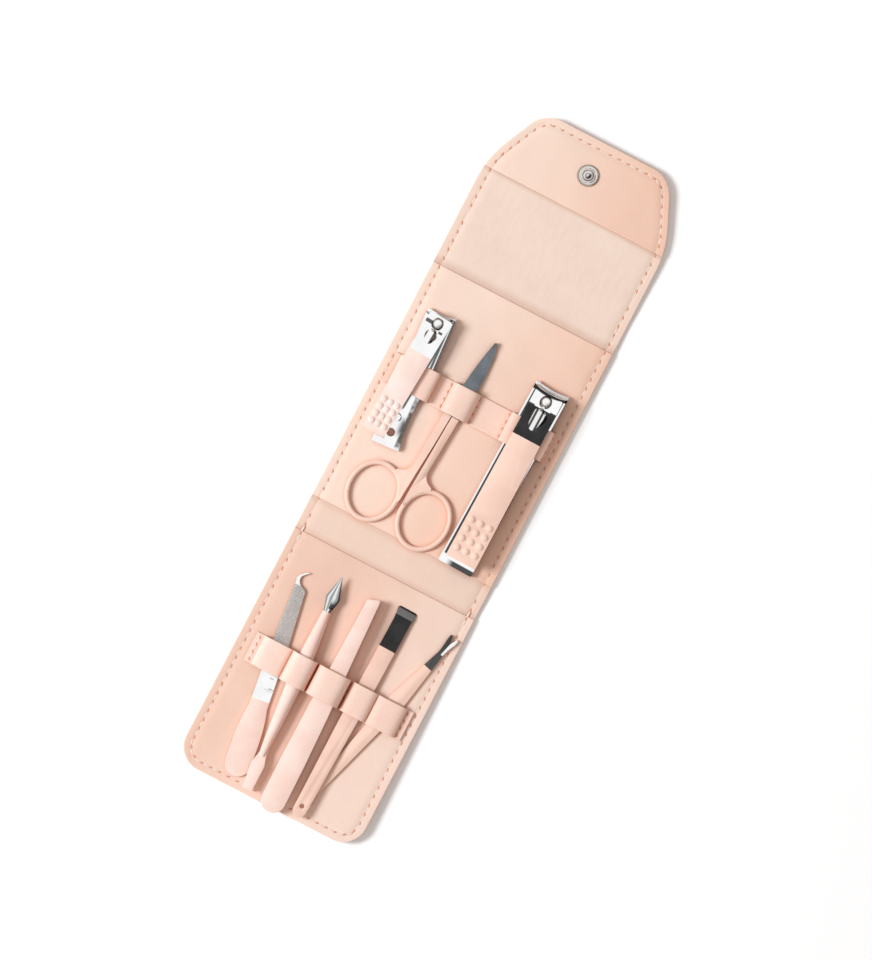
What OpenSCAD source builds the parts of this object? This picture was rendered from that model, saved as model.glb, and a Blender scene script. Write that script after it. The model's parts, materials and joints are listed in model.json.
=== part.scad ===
// Manicure case, lying open: upper panel with two clippers and scissors, lower panel with
// five tools, and a flap that snaps shut. The origin is on the underside of the upper
// panel, +Y runs along the case towards the flap, +X across it and +Z up.

/* [Case] */
// Width of the case across the panels
case_w = 79; // [77:0.5:86]
// Length of the upper panel between its two fold lines
upper_len = 106.5; // [105:0.5:116]
// Length of the lower panel from its fold line to the free edge
lower_len = 95.5; // [95:0.5:100]
// Width of the lower fold, which becomes the closed case's thickness
fold_w = 17; // [17:0.5:19]
// Length of the flap past its fold line
flap_len = 49.8; // [46:0.5:58]
// Distance from the origin down to the lower fold line
fold_drop = 31; // [28:0.5:34]
// Radius of the lower panel's two free corners
corner_r = 10; // [4:0.5:14]
// Width of the flap's straight end before its corners are rounded
flap_end_w = 55; // [46:1:60]
// Height of the flap's sloping sides
flap_slope_h = 26; // [20:1:32]

/* [Layers] */
// Thickness of the outer leather
cover_t = 0.8; // [0.6:0.1:1.2]
// Thickness of the stiffener boards
board_t = 0.6; // [0.4:0.1:1]
// Thickness of the lining cloth
lining_t = 0.4; // [0.3:0.1:0.6]
// Thickness of the leather facings
facing_t = 0.5; // [0.4:0.1:0.8]
// Thickness of the loop strips
strip_t = 0.7; // [0.5:0.1:0.8]
// Distance that boards and lining keep from a fold line
fold_clear = 1; // [0.9:0.1:2]
// Margin of the boards inside the case's edge
board_margin = 5; // [4:0.5:8]
// Width of lining that shows between the lower fold line and the upper facing
lining_show = 3.5; // [2:0.5:6]
// Width of lining that shows on the lower fold above the lower facing
fold_lining_show = 11; // [9:0.5:12]
// Height of the facing on the flap
flap_facing_h = 29; // [24:0.5:32]

/* [Snap] */
// Distance of the snap off the middle line
snap_x = -1.3; // [-2:0.1:2]
// Distance from the flap's fold line to the snap
snap_reach = 35.6; // [30:0.2:38]
// Diameter of the snap's flanges
snap_d = 8.6; // [8:0.2:11]
// Diameter of the stud's post
stud_d = 4; // [3.4:0.1:4.4]
// Height of the stud over the cover
stud_h = 1.5; // [1.2:0.1:1.5]
// Height of the domed cap over the cover
cap_h = 1; // [0.7:0.1:1.2]
// Room that the snap keeps between the closed flap and the lower panel
snap_gap = 1.9; // [1.9:0.1:2.4]

/* [Loops] */
// Height of the strips along the case
strip_h = 12.4; // [10:0.2:13]
// Distance from the lower fold line to the upper strip's lower edge
upper_strip_y = 55.5; // [54.5:0.1:56.5]
// Distance from the lower fold line down to the lower strip's upper edge
lower_strip_y = 36.9; // [36:0.1:37.5]
// Room between a loop and the tool in it
loop_play = 0.25; // [0.2:0.05:0.4]

/* [Clippers] */
// Length of the large clipper
large_len = 80; // [78:0.5:81]
// Width of the large clipper's jaws
large_w = 14.4; // [13:0.2:14.6]
// Thickness of the large clipper's arms
large_arm_t = 1.3; // [1.1:0.1:1.4]
// Length of the large clipper's lever
large_lever_len = 73.5; // [70:0.5:74]
// Width of the large clipper's lever
large_lever_w = 11.8; // [11:0.2:12.4]
// Length of the small clipper
small_len = 56.5; // [55:0.5:58]
// Width of the small clipper's jaws
small_w = 12; // [11:0.2:12.4]
// Thickness of the small clipper's arms
small_arm_t = 1.1; // [0.9:0.1:1.2]
// Length of the small clipper's lever
small_lever_len = 52; // [48:0.5:53]
// Width of the small clipper's lever
small_lever_w = 9.8; // [9:0.2:10.6]
// Thickness of both levers
lever_t = 1.2; // [0.9:0.1:1.4]
// Diameter of the large clipper's post
large_post_d = 3; // [2.4:0.1:3.2]
// Diameter of the small clipper's post
small_post_d = 2.4; // [2:0.1:2.8]
// Running clearance on the radius of a post or a rivet
run_clear = 0.05; // [0.03:0.01:0.08]

/* [Scissors] */
// Length of the blades from the rivet to the tip
blade_len = 27.3; // [25:0.1:28]
// Width of a blade at the rivet
blade_w = 5.6; // [5:0.1:6]
// Thickness of one half at the rivet
half_t = 1.2; // [1:0.1:1.3]
// Thickness of the shanks and finger rings
ring_t = 2.1; // [1.7:0.1:2.4]
// Width across a finger ring, outside
ring_w = 21.6; // [20:0.2:22]
// Length of a finger ring, outside
ring_len = 25.2; // [24:0.2:26]

/* [Lower tools] */
// Length of the file with its hook and handle
file_len = 84.5; // [80:0.5:86]
// Width of the file's blade at the loop
file_w = 7; // [6:0.1:7.4]
// Width of the file's paddle handle
file_handle_w = 10.4; // [9:0.1:11]
// Thickness of the flat tools
flat_t = 1.3; // [1:0.1:1.4]
// Length of the pusher
pusher_len = 91; // [86:0.5:92]
// Largest diameter of the pusher's handle
pusher_d = 6.2; // [5:0.1:6.4]
// Length of the tweezers
tweezer_len = 92.7; // [86:0.5:94]
// Width of the tweezers at their joined end
tweezer_w = 9.8; // [8:0.1:10]
// Thickness of one tweezer arm
tweezer_t = 1.2; // [1:0.1:1.3]
// Height of the tweezers at their widest bow
tweezer_h = 6; // [5:0.1:6.2]
// Length of the flat knife
knife_len = 91.5; // [86:0.5:92]
// Width of the flat knife's head
knife_head_w = 8; // [7:0.1:8.2]
// Length of the fork
fork_len = 90; // [84:0.5:92]
// Width of the fork's handle
fork_w = 6.9; // [6:0.1:7.2]

/* [Hidden] */

$fn = 48;
eps = 0.01;
lie = 0.05;                                  // air between a tool and the facing under it
bead_clear = 0.03;                           // air round the bead that a fold turns on
axis_z = cover_t / 2;                        // height of every fold line
panel_t = cover_t + board_t + lining_t + facing_t;
inner = panel_t - axis_z;                    // facing's height over the fold line
fold_y = -fold_drop;
lower_y = fold_y - fold_w;
upper_y = fold_y + upper_len;
flap_fold_w = fold_w + axis_z + inner + snap_gap;
flap_y = upper_y + flap_fold_w;
stud_reach = upper_len - snap_reach;         // fold line to stud, so that the snap meets
stud_tip_r = 1.5;
cap_r = snap_d / 2;
cap_ball_r = (cap_r * cap_r + cap_h * cap_h) / (2 * cap_h);

// Solves a sin(t) + b cos(t) = c for a small t
function tilt(a, b, c) = asin(c / norm([a, b])) - atan2(b, a);
lower_tilt = tilt(stud_reach - stud_tip_r, -(axis_z + stud_h), -axis_z);
flap_tilt = tilt(snap_reach, cap_ball_r - cap_h - axis_z, cap_ball_r - axis_z);

// Colours
leather_c = [0.96, 0.80, 0.71];
lining_c = [0.94, 0.84, 0.77];
board_c = [0.62, 0.58, 0.53];
coat_c = [0.98, 0.84, 0.78];
chrome_c = [0.86, 0.87, 0.88];
dark_c = [0.22, 0.22, 0.23];

// Places of the tools: each list holds x across the case, the distance from the lower
// fold line along its panel, and the turn of the tool about Z
large_at = [23.1, 3.4, -1.35];
small_at = [-23, 33.2, 3.9];
large_lever_turn = 0.7;
small_lever_turn = -7.5;
scissor_at = [-4.7, 61.5, -3.1];
file_at = [-27.55, 7.4, 7.95];
pusher_at = [-14, 2.3, 3.2];
tweezer_at = [1.1, 4.4, 0.8];
knife_at = [14.7, 2.3, -1];
fork_at = [35.9, 3.8, -15.1];

// Outlines

function arc_points(c, r, a0, a1, n) =
    [for (i = [0 : n]) let (a = a0 + (a1 - a0) * i / n) c + r * [cos(a), sin(a)]];

// Points of the arc that rounds corner p between its neighbours a and b
function fillet(a, p, b, r, n = 8) = let (
    u = (a - p) / norm(a - p),
    v = (b - p) / norm(b - p),
    half = acos(u * v) / 2,
    w = (u + v) / norm(u + v),
    c = p + w * r / sin(half),
    s = p + u * r / tan(half) - c,
    e = p + v * r / tan(half) - c,
    a0 = atan2(s[1], s[0]),
    turn = atan2(s[0] * e[1] - s[1] * e[0], s * e))
    r == 0 ? [p] : arc_points(c, r, a0, a0 + turn, n);

// A polygon's points with each corner rounded by its own radius
function rounded(p, r) = let (n = len(p))
    [for (i = [0 : n - 1]) each fillet(p[(i + n - 1) % n], p[i], p[(i + 1) % n], r[i])];

function bezier(p, n) = [for (i = [0 : n]) let (t = i / n, s = 1 - t)
    s * s * p[0] + 2 * s * t * p[1] + t * t * p[2]];

function unit(v) = v / norm(v);
function left_of(d) = [-d[1], d[0]];

// Direction in which a line of points is offset at point i, longer at a bend
function offset_at(p, i) = let (
    a = unit(p[max(i, 1)] - p[max(i, 1) - 1]),
    b = unit(p[min(i, len(p) - 2) + 1] - p[min(i, len(p) - 2)]),
    m = unit(left_of(a) + left_of(b)))
    m / (m * left_of(b));

// Outline of a sheet of thickness t whose middle line is p
function sheet(p, t) = concat(
    [for (i = [0 : len(p) - 1]) p[i] + offset_at(p, i) * t / 2],
    [for (i = [len(p) - 1 : -1 : 0]) p[i] - offset_at(p, i) * t / 2]);

function mirrored(p) = [for (i = [len(p) - 1 : -1 : 0]) [-p[i][0], p[i][1]]];

// A profile drawn in the plane of Y and Z, carried w wide across X
module across(w) {
    rotate([90, 0, 90]) translate([0, 0, -w / 2]) linear_extrude(w) children();
}

// Frames of the panels

module on_upper() {
    translate([0, fold_y, panel_t]) children();
}

// Tips the lower panel about its fold line, so that the stud under it rests at z = 0
module tip_lower() {
    translate([0, lower_y, axis_z]) rotate([-lower_tilt, 0, 0]) translate([0, -lower_y, -axis_z])
        children();
}

module on_lower() {
    tip_lower() translate([0, lower_y, panel_t]) children();
}

module tip_flap() {
    translate([0, flap_y, axis_z]) rotate([flap_tilt, 0, 0]) translate([0, -flap_y, -axis_z])
        children();
}

module place(at, z = lie) {
    translate([at[0], at[1], z]) rotate([0, 0, at[2]]) children();
}

module place_below(at, z = lie) {
    translate([at[0], -at[1], z]) rotate([0, 0, at[2]]) children();
}

// Case

module strip_rect(y0, y1, z0, t, margin = 0) {
    translate([-case_w / 2 + margin, y0, z0]) cube([case_w - 2 * margin, y1 - y0, t]);
}

// Round bead on which a fold's leather turns
module bead(y) {
    translate([-case_w / 2, y, axis_z]) rotate([0, 90, 0]) cylinder(r = axis_z, h = case_w);
}

module lower_outline(top, margin = 0) {
    hw = case_w / 2 - margin;
    bottom = lower_y - lower_len + margin;
    r = corner_r - margin / 2;
    polygon(rounded([[-hw, bottom], [hw, bottom], [hw, top], [-hw, top]], [r, r, 0, 0]));
}

module flap_outline(start, margin = 0) {
    hw = case_w / 2 - margin;
    ew = flap_end_w / 2 - margin;
    end = flap_y + flap_len - margin;
    intersection() {
        polygon(rounded([[-hw, flap_y - 1], [hw, flap_y - 1], [hw, end - flap_slope_h], [ew, end], [-ew, end],
            [-hw, end - flap_slope_h]], [0, 0, 40, 12, 12, 40]));
        translate([-case_w, start]) square([2 * case_w, 2 * flap_len]);
    }
}

module cover_upper() {
    color(leather_c) {
        strip_rect(fold_y, upper_y, 0, cover_t);
        bead(fold_y);
        bead(upper_y);
    }
}

module cover_fold() {
    start = axis_z + bead_clear;
    color(leather_c) strip_rect(lower_y + start, fold_y - start, 0, cover_t);
}

module cover_lower() {
    color(leather_c) tip_lower() {
        linear_extrude(cover_t) lower_outline(lower_y);
        bead(lower_y);
    }
}

module cover_flap_fold() {
    start = axis_z + bead_clear;
    color(leather_c) strip_rect(upper_y + start, flap_y - start, 0, cover_t);
}

module cover_flap() {
    color(leather_c) tip_flap() difference() {
        union() {
            linear_extrude(cover_t) flap_outline(flap_y);
            bead(flap_y);
        }
        snap_hole();
    }
}

module snap_hole() {
    translate([snap_x, flap_y + snap_reach, -eps]) cylinder(d = cap_neck_d, h = panel_t + 2 * eps);
}
cap_neck_d = 1.6;

module board_upper() {
    color(board_c) strip_rect(fold_y + fold_clear, upper_y - fold_clear, cover_t, board_t, board_margin);
}

module board_lower() {
    color(board_c) difference() {
        tip_lower() translate([0, 0, cover_t]) linear_extrude(board_t)
            lower_outline(lower_y - fold_clear, board_margin);
        // Seat of the stud's back plate
        at_stud() translate([0, 0, cover_t - eps]) cylinder(d = stud_back_d + 0.2, h = stud_back_t + 0.05);
    }
}

module board_flap() {
    color(board_c) tip_flap() difference() {
        translate([0, 0, cover_t]) linear_extrude(board_t) flap_outline(flap_y + fold_clear, board_margin);
        snap_hole();
    }
}

// Lining that lies on a board and turns down to the cover round the board's edge
module lining(board) {
    difference() {
        linear_extrude(board_t + lining_t) children(0);
        translate([0, 0, -eps]) linear_extrude(board_t + eps) children(1);
    }
}

module lining_upper() {
    color(lining_c) translate([0, 0, cover_t]) lining() {
        translate([-case_w / 2, fold_y + fold_clear])
            square([case_w, upper_len - 2 * fold_clear]);
        translate([-case_w / 2 + board_margin, fold_y + fold_clear - eps])
            square([case_w - 2 * board_margin, upper_len - 2 * fold_clear + 2 * eps]);
    }
}

module lining_fold() {
    color(lining_c) strip_rect(lower_y + fold_clear, fold_y - fold_clear, cover_t, lining_t);
}

module lining_lower() {
    color(lining_c) tip_lower() translate([0, 0, cover_t]) lining() {
        lower_outline(lower_y - fold_clear);
        lower_outline(lower_y - fold_clear + eps, board_margin);
    }
}

module lining_flap_fold() {
    color(lining_c) strip_rect(upper_y + fold_clear, flap_y - fold_clear, cover_t, lining_t);
}

module lining_flap() {
    color(lining_c) tip_flap() difference() {
        translate([0, 0, cover_t]) lining() {
            flap_outline(flap_y + fold_clear);
            flap_outline(flap_y + fold_clear - eps, board_margin);
        }
        snap_hole();
    }
}

module facing_upper() {
    color(leather_c) strip_rect(fold_y + lining_show, upper_y - fold_clear, panel_t - facing_t, facing_t);
}

module facing_lower() {
    color(leather_c) tip_lower() translate([0, 0, panel_t - facing_t]) linear_extrude(facing_t)
        lower_outline(lower_y - fold_clear);
}

// Top of the lower facing, where it runs over onto the fold
module facing_fold() {
    color(leather_c) strip_rect(lower_y + inner + 0.1, fold_y - fold_lining_show, cover_t + lining_t, facing_t);
}

module facing_flap() {
    color(leather_c) tip_flap() difference() {
        translate([0, 0, panel_t - facing_t]) linear_extrude(facing_t)
            flap_outline(flap_y + flap_len - flap_facing_h);
        snap_hole();
    }
}

// Loop strips. A loop is [left foot, left shoulder, right shoulder, right foot, inner height].

module loop_space(l) {
    polygon(rounded([[l[0], 0], [l[3], 0], [l[2], l[4]], [l[1], l[4]]], [0, 0, 0.6, 0.6]));
}

module loop_wall(l) {
    intersection() {
        offset(r = strip_t, $fn = 24) loop_space(l);
        translate([-case_w / 2, 0]) square([case_w, case_w]);
    }
}

module loop_strip(x0, x1, loops) {
    rotate([90, 0, 0]) translate([0, 0, -strip_h]) linear_extrude(strip_h) difference() {
        union() {
            translate([x0, 0]) square([x1 - x0, strip_t]);
            for (l = loops) loop_wall(l);
        }
        for (l = loops) translate([0, -eps]) loop_space(l);
    }
}

large_body_h = 5.1;                          // height of the large clipper's arms at its loop
small_body_h = 3.8;
small_loop_mid = [-25, 6.6];                 // middle and half width of the small clipper's loop
large_loop_mid = [24.5, 7.85];

upper_loop_list = [
    [small_loop_mid[0] - small_loop_mid[1] - 1.2, small_loop_mid[0] - small_loop_mid[1],
        small_loop_mid[0] + small_loop_mid[1], small_loop_mid[0] + small_loop_mid[1] + 1.2,
        small_body_h + lie + loop_play],
    [-9.8, -9, -0.2, 0.8, 2 * half_t + lie + 0.85],
    [large_loop_mid[0] - large_loop_mid[1] - 0.8, large_loop_mid[0] - large_loop_mid[1],
        large_loop_mid[0] + large_loop_mid[1], large_loop_mid[0] + large_loop_mid[1] + 0.3,
        large_body_h + lie + loop_play]];

lower_loop_list = [
    [-29.6, -28.8, -18, -17.7, flat_t + lie + 0.4],
    [-17.1, -16.4, -8, -7.2, pusher_d + lie + loop_play],
    [-5.6, -3.9, 6.5, 7.2, tweezer_h + lie + loop_play],
    [8.9, 9.5, 18.6, 19.2, 3],
    [19.9, 19.95, 31.2, 31.8, flat_t + lie + 0.4]];

module upper_loops() {
    color(leather_c) on_upper() translate([0, upper_strip_y, 0]) loop_strip(-35.5, 34.6, upper_loop_list);
}

module lower_loops() {
    color(leather_c) on_lower() translate([0, -lower_strip_y - strip_h, 0])
        loop_strip(-33.5, 35.2, lower_loop_list);
}

// Snap fastener

snap_flange_t = 0.3;
socket_h = snap_gap - snap_flange_t - 0.1;    // height of the socket over the facing
post_roll_r = 1.1;

module at_flap_snap() {
    tip_flap() translate([snap_x, flap_y + snap_reach, 0]) children();
}

module at_stud() {
    tip_lower() translate([snap_x, lower_y - stud_reach, 0]) children();
}

// Domed cap on the flap's outside, with the rolled post that holds the socket
module snap_cap() {
    color(chrome_c) at_flap_snap() {
        intersection() {
            translate([0, 0, cap_ball_r - cap_h]) sphere(r = cap_ball_r, $fn = 96);
            translate([0, 0, -cap_h - eps]) cylinder(r = cap_r, h = cap_h + eps);
        }
        cylinder(d = cap_neck_d - 0.1, h = panel_t + snap_flange_t);
        translate([0, 0, panel_t + snap_flange_t]) rotate_extrude()
            polygon(concat([[0, 0]], arc_points([0, 0], post_roll_r, 0, 90, 8)));
    }
}

// Socket: flange, rolled rim and a mouth for the stud round the cap's rolled post
module snap_socket() {
    mouth_r = stud_d / 2 + 0.15;
    color(chrome_c) at_flap_snap() translate([0, 0, panel_t]) rotate_extrude() difference() {
        union() {
            translate([cap_neck_d / 2 + 0.02, 0]) square([snap_d / 2 - cap_neck_d / 2 - 0.02, snap_flange_t]);
            polygon(rounded([[mouth_r, 0], [snap_d / 2, 0], [snap_d / 2, 0.7], [mouth_r + 1.2, socket_h],
                [mouth_r, socket_h]], [0, 0, 0.3, 0.5, 0.2]));
        }
        translate([mouth_r - 0.4, snap_flange_t]) square([1.1, 0.6]);
    }
}

// Stud on the lower panel's outside, hollow for the socket's rolled post
module snap_stud() {
    color(chrome_c) at_stud() mirror([0, 0, 1]) difference() {
        rotate_extrude() polygon(rounded([[0, 0], [snap_d / 2 - 0.6, 0], [snap_d / 2 - 0.6, snap_flange_t],
            [stud_d / 2 - 0.3, snap_flange_t], [stud_d / 2, stud_h * 0.6], [stud_tip_r, stud_h],
            [0, stud_h]], [0, 0, 0.1, 0.1, 0.2, 0.1, 0]));
        translate([0, 0, 0.2]) cylinder(r = post_roll_r + 0.1, h = stud_h);
    }
}

// Back of the stud, under the lower panel's lining
stud_back_d = 6;
stud_back_t = 0.25;

module snap_stud_back() {
    color(chrome_c) at_stud() translate([0, 0, cover_t]) cylinder(d = stud_back_d, h = stud_back_t);
}

// Clippers. The local origin is at the rear end on the underside, +Y towards the jaws.
// A clipper's sizes are [length, jaw width, arm thickness, post diameter, rear width,
// waist width, waist place, belly height at the post, height of the lever, lever length,
// lever width, lever width at its end].

large_post_y = large_len - 6.3;
small_post_y = small_len - 4.9;
large = [large_len, large_w, large_arm_t, large_post_d, large_w + 0.1, large_w - 0.2, 30,
    large_post_y, 6.4, large_lever_len, large_lever_w, large_lever_w + 1];
small = [small_len, small_w, small_arm_t, small_post_d, 11.4, 9.6, 14,
    small_post_y, 5.05, small_lever_len, small_lever_w, small_lever_w - 0.2];

function c_len(c) = c[0];
function c_w(c) = c[1];
function c_t(c) = c[2];
function c_post_d(c) = c[3];
function c_post_y(c) = c[7];
function c_lever_z(c) = c[8];

jaw_gap = 1;                                 // air between the relaxed jaws
joined_len = 14.5;                            // rear stretch where the arms lie on each other
head_t = 0.7;                                // thickness of a post's head

function over_head(c) = c_t(c) / 2 + head_t + 0.05;
function jaw_z(c) = over_head(c) + 0.95;
function arm_rise(c) = c == large ? 2.6 : 2.2;

// Middle line of the lower arm: flat, then up over the post's head to the jaw
function lower_line(c) = let (t = c_t(c), y = c_len(c), f = over_head(c)) concat(
    [[0, t / 2], [y - 24, t / 2]],
    bezier([[y - 19, t / 2], [y - 14, f], [y - 10, f]], 4),
    bezier([[y - 4, f], [y - 1.8, f], [y - 0.5, jaw_z(c)]], 4));

// Middle line of the upper arm: up from the joined end, then down to the jaw
function upper_line(c) = let (t = c_t(c), y = c_len(c) - 1.2, z = t * 3 / 2 + lie, h = z + arm_rise(c)) concat(
    [[0, z], [joined_len, z]],
    bezier([[y - 10, h], [y - 4.5, h + 0.15], [y - 2.2, h - 0.4]], 5),
    [[y - 0.7, jaw_z(c) + jaw_gap]]);

// Seen from above: flared rear, waist and jaw
module clipper_plan(c) {
    hw = c_w(c) / 2;
    rear = c[4] / 2;
    waist = c[5] / 2;
    y = c_len(c);
    polygon(rounded([[-rear, 0], [rear, 0], [rear, 2.2], [waist, 6], [waist, c[6]], [hw, c_post_y(c) - 12],
        [hw, y + 1], [-hw, y + 1], [-hw, c_post_y(c) - 12], [-waist, c[6]], [-waist, 6], [-rear, 2.2]],
        [0.5, 0.5, 1.5, 4, 10, 10, 0, 0, 10, 10, 4, 1.5]));
}

// Circle that hollows the jaw's edge
module jaw_hollow(c, sag) {
    hw = c_w(c) / 2;
    r = (hw * hw + sag * sag) / (2 * sag);
    translate([0, c_len(c) - sag + r, -1]) cylinder(r = r, h = 20, $fn = 120);
}

rivet_y = 12.2;
rivet_r = 1.1;
hang_hole_y = 5.8;
hang_hole_d = 3.4;

module clipper_arm(c, line, sag, cut, play) {
    difference() {
        intersection() {
            across(c_w(c) + 10) polygon(sheet(line, c_t(c)));
            translate([0, 0, -1]) linear_extrude(20) clipper_plan(c);
        }
        translate([0, -cut, 0]) jaw_hollow(c, sag);
        translate([0, c_post_y(c), -1]) cylinder(r = c_post_d(c) / 2 + 0.25, h = 20);
        translate([0, rivet_y, -1]) cylinder(r = rivet_r + play, h = 20);
        translate([0, hang_hole_y, -1]) cylinder(d = hang_hole_d, h = 20);
    }
}

module clipper_lower_arm(c) {
    clipper_arm(c, lower_line(c), 1, 0, 0);
}

module clipper_upper_arm(c) {
    clipper_arm(c, upper_line(c), 1.4, 1.2, run_clear);
}

// Rivet through both arms, with a low head over the upper one
module clipper_rivet(c) {
    h = 2 * c_t(c) + lie + 0.1;
    translate([0, rivet_y, 0]) {
        cylinder(r = rivet_r, h = h);
        translate([0, 0, h]) cylinder(r1 = rivet_r + 0.6, r2 = rivet_r + 0.2, h = 0.3);
    }
}

knob_r = 1.95;

// Post: flat head under the lower arm, shaft through both arms, round knob over the lever
module clipper_post(c) {
    r = c_post_d(c) / 2;
    top = c_lever_z(c) + lever_t + 1.4;
    translate([0, c_post_y(c), 0]) {
        cylinder(r = r + 0.9, h = head_t);
        cylinder(r = r, h = top + 0.3);
        translate([0, 0, top]) rotate_extrude() polygon(concat([[0, 0]],
            [[knob_r, 0]], arc_points([knob_r - 0.6, 0.7], 0.6, 0, 70, 5), [[0, 1.5]]));
    }
}

// Lever, drawn with the post at the origin and its tail towards -Y
module clipper_lever(c, bumps) {
    l = c[9];
    front = 3.1;
    hw = c[10] / 2;
    tail = c[11] / 2;
    z = c_lever_z(c);
    slot_w = c_post_d(c) + 2 * run_clear;
    step = 0.35;
    difference() {
        intersection() {
            across(c_w(c) + 10) polygon(sheet([[-l + front, z + lever_t / 2],
                [-l * 0.66, z + lever_t / 2], [-l * 0.64, z + lever_t / 2 + step],
                [-4.4, z + lever_t / 2 + step], [-2.6, z + lever_t / 2], [front, z + lever_t / 2]], lever_t));
            linear_extrude(30) polygon(rounded([[-tail, front - l], [tail, front - l], [hw, -2], [hw, front],
                [-hw, front], [-hw, -2]], [0.8, 0.8, 4, 1, 1, 4]));
        }
        // Slot for the post's neck, long enough for the lever's lift
        for (y = [-0.9, 0.9]) translate([0, y, 0]) cylinder(d = slot_w, h = 30);
        translate([-slot_w / 2, -0.9, 0]) cube([slot_w, 1.8, 30]);
    }
    lever_hump(c, z + lever_t + step - 0.2);
    for (i = [-1 : 1], j = [0 : 3])
        translate([i * bumps[0], front - l + bumps[2] + j * bumps[1], z + lever_t - 0.1])
            intersection() {
                translate([0, 0, -1.2]) sphere(r = 2, $fn = 24);
                cylinder(r = 2, h = 2);
            }
}

// Pressed ridge on which the lever rocks when it is turned over
module lever_hump(c, z) {
    // Wide and narrow end: [place behind the post, half width, half length, height]
    ends = c == large ? [[6.3, 3.5, 3.1, 1.6], [10.5, 2.2, 2.1, 1.1]] : [[5.3, 2.5, 2.5, 1.35], [6.9, 1.9, 1.9, 1.1]];
    translate([0, 0, z]) intersection() {
        hull() for (e = ends) translate([0, -e[0], 0]) scale([e[1], e[2], e[3]]) sphere(r = 1, $fn = 32);
        translate([-10, -30, -0.3]) cube([20, 40, 10]);
    }
}

module at_large() {
    on_upper() place(large_at) children();
}

module at_small() {
    on_upper() place(small_at) children();
}

module large_lower_arm() { color(chrome_c) at_large() clipper_lower_arm(large); }
module large_upper_arm() { color(chrome_c) at_large() clipper_upper_arm(large); }
module large_rivet() { color(chrome_c) at_large() clipper_rivet(large); }
module large_post() { color(chrome_c) at_large() clipper_post(large); }

module large_lever() {
    color(coat_c) at_large() translate([0, large_post_y, 0]) rotate([0, 0, large_lever_turn])
        clipper_lever(large, [3.9, 4.05, 4.6]);
}

module small_lower_arm() { color(chrome_c) at_small() clipper_lower_arm(small); }
module small_upper_arm() { color(chrome_c) at_small() clipper_upper_arm(small); }
module small_rivet() { color(chrome_c) at_small() clipper_rivet(small); }
module small_post() { color(chrome_c) at_small() clipper_post(small); }

module small_lever() {
    color(coat_c) at_small() translate([0, small_post_y, 0]) rotate([0, 0, small_lever_turn])
        clipper_lever(small, [2.8, 3.2, 3.8]);
}

// Scissors. The local origin is at the rivet, +Y towards the tips.

scissor_rivet_r = 1.3;
ring_wire = 1.9;                             // width of a finger ring's wire
right_ring = [11.15, -46.7];                 // middle of each finger ring
left_ring = [-11.7, -46.7];

// One closed tube of 12 sides along an ellipse, cut flat at the bottom by its section
function ring_line(at, t) =
    at + [(ring_w - ring_wire) / 2 * cos(t), (ring_len - ring_wire) / 2 * sin(t)];
function ring_section(a) = [ring_wire / 2 * cos(a), ring_t / 2 * sin(a)];

module finger_ring(at) {
    turns = 40;
    sides = 10;
    a = ring_w / 2 - ring_wire / 2;
    b = ring_len / 2 - ring_wire / 2;
    points = [for (i = [0 : turns - 1], j = [0 : sides - 1]) let (
        t = 360 * i / turns,
        n = unit([cos(t) / a, sin(t) / b]),
        s = ring_section(360 * (j + 0.5) / sides))
        [a * cos(t) + n[0] * s[0], b * sin(t) + n[1] * s[0], s[1]]];
    faces = [for (i = [0 : turns - 1], j = [0 : sides - 1]) let (
        i2 = (i + 1) % turns,
        j2 = (j + 1) % sides)
        each [[i * sides + j, i * sides + j2, i2 * sides + j],
            [i * sides + j2, i2 * sides + j2, i2 * sides + j]]];
    translate([at[0], at[1], ring_t / 2]) polyhedron(points, faces);
}

module ring_space(at) {
    translate([at[0], at[1], -1]) linear_extrude(10)
        scale([ring_w / 2 - ring_wire, ring_len / 2 - ring_wire]) circle(r = 1, $fn = 64);
}

// Right half: upper blade, long shank to the right ring
module scissor_right_half() {
    hw = blade_w / 2;
    l = blade_len;
    color(coat_c) on_upper() place(scissor_at) difference() {
        union() {
            translate([0, 0, half_t + 0.03]) linear_extrude(half_t) polygon(concat(
                [[-hw + 0.3, 2], [-hw + 0.4, l * 0.25], [-2.15, l * 0.42], [-1.7, l * 0.6], [-1.05, l * 0.79],
                [0, l]],
                [[0.5, l * 0.97], [1.05, l * 0.79], [2.2, l * 0.52], [hw + 0.2, l * 0.25], [hw + 0.1, 2],
                [2.7, -3], [3.1, -6.6], [0.2, -6.6], [0, -5], [-hw + 0.2, -1.6]]));
            linear_extrude(ring_t) polygon(concat([[0.1, -4.6], [3.1, -4.6], [3.1, -29]],
                bezier([[3.1, -29.6], [3.1, -33.2], [7.4, -34.4]], 6),
                [for (t = [110 : 13 : 175]) ring_line(right_ring, t)],
                [[0.45, -45], [0.3, -40]]));
            finger_ring(right_ring);
        }
        translate([0, 0, -1]) cylinder(r = scissor_rivet_r + run_clear, h = 10);
        translate([0, 0, -eps]) cylinder(r = 5.2, h = half_t + 0.03 + eps);
        ring_space(right_ring);
    }
}

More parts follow.
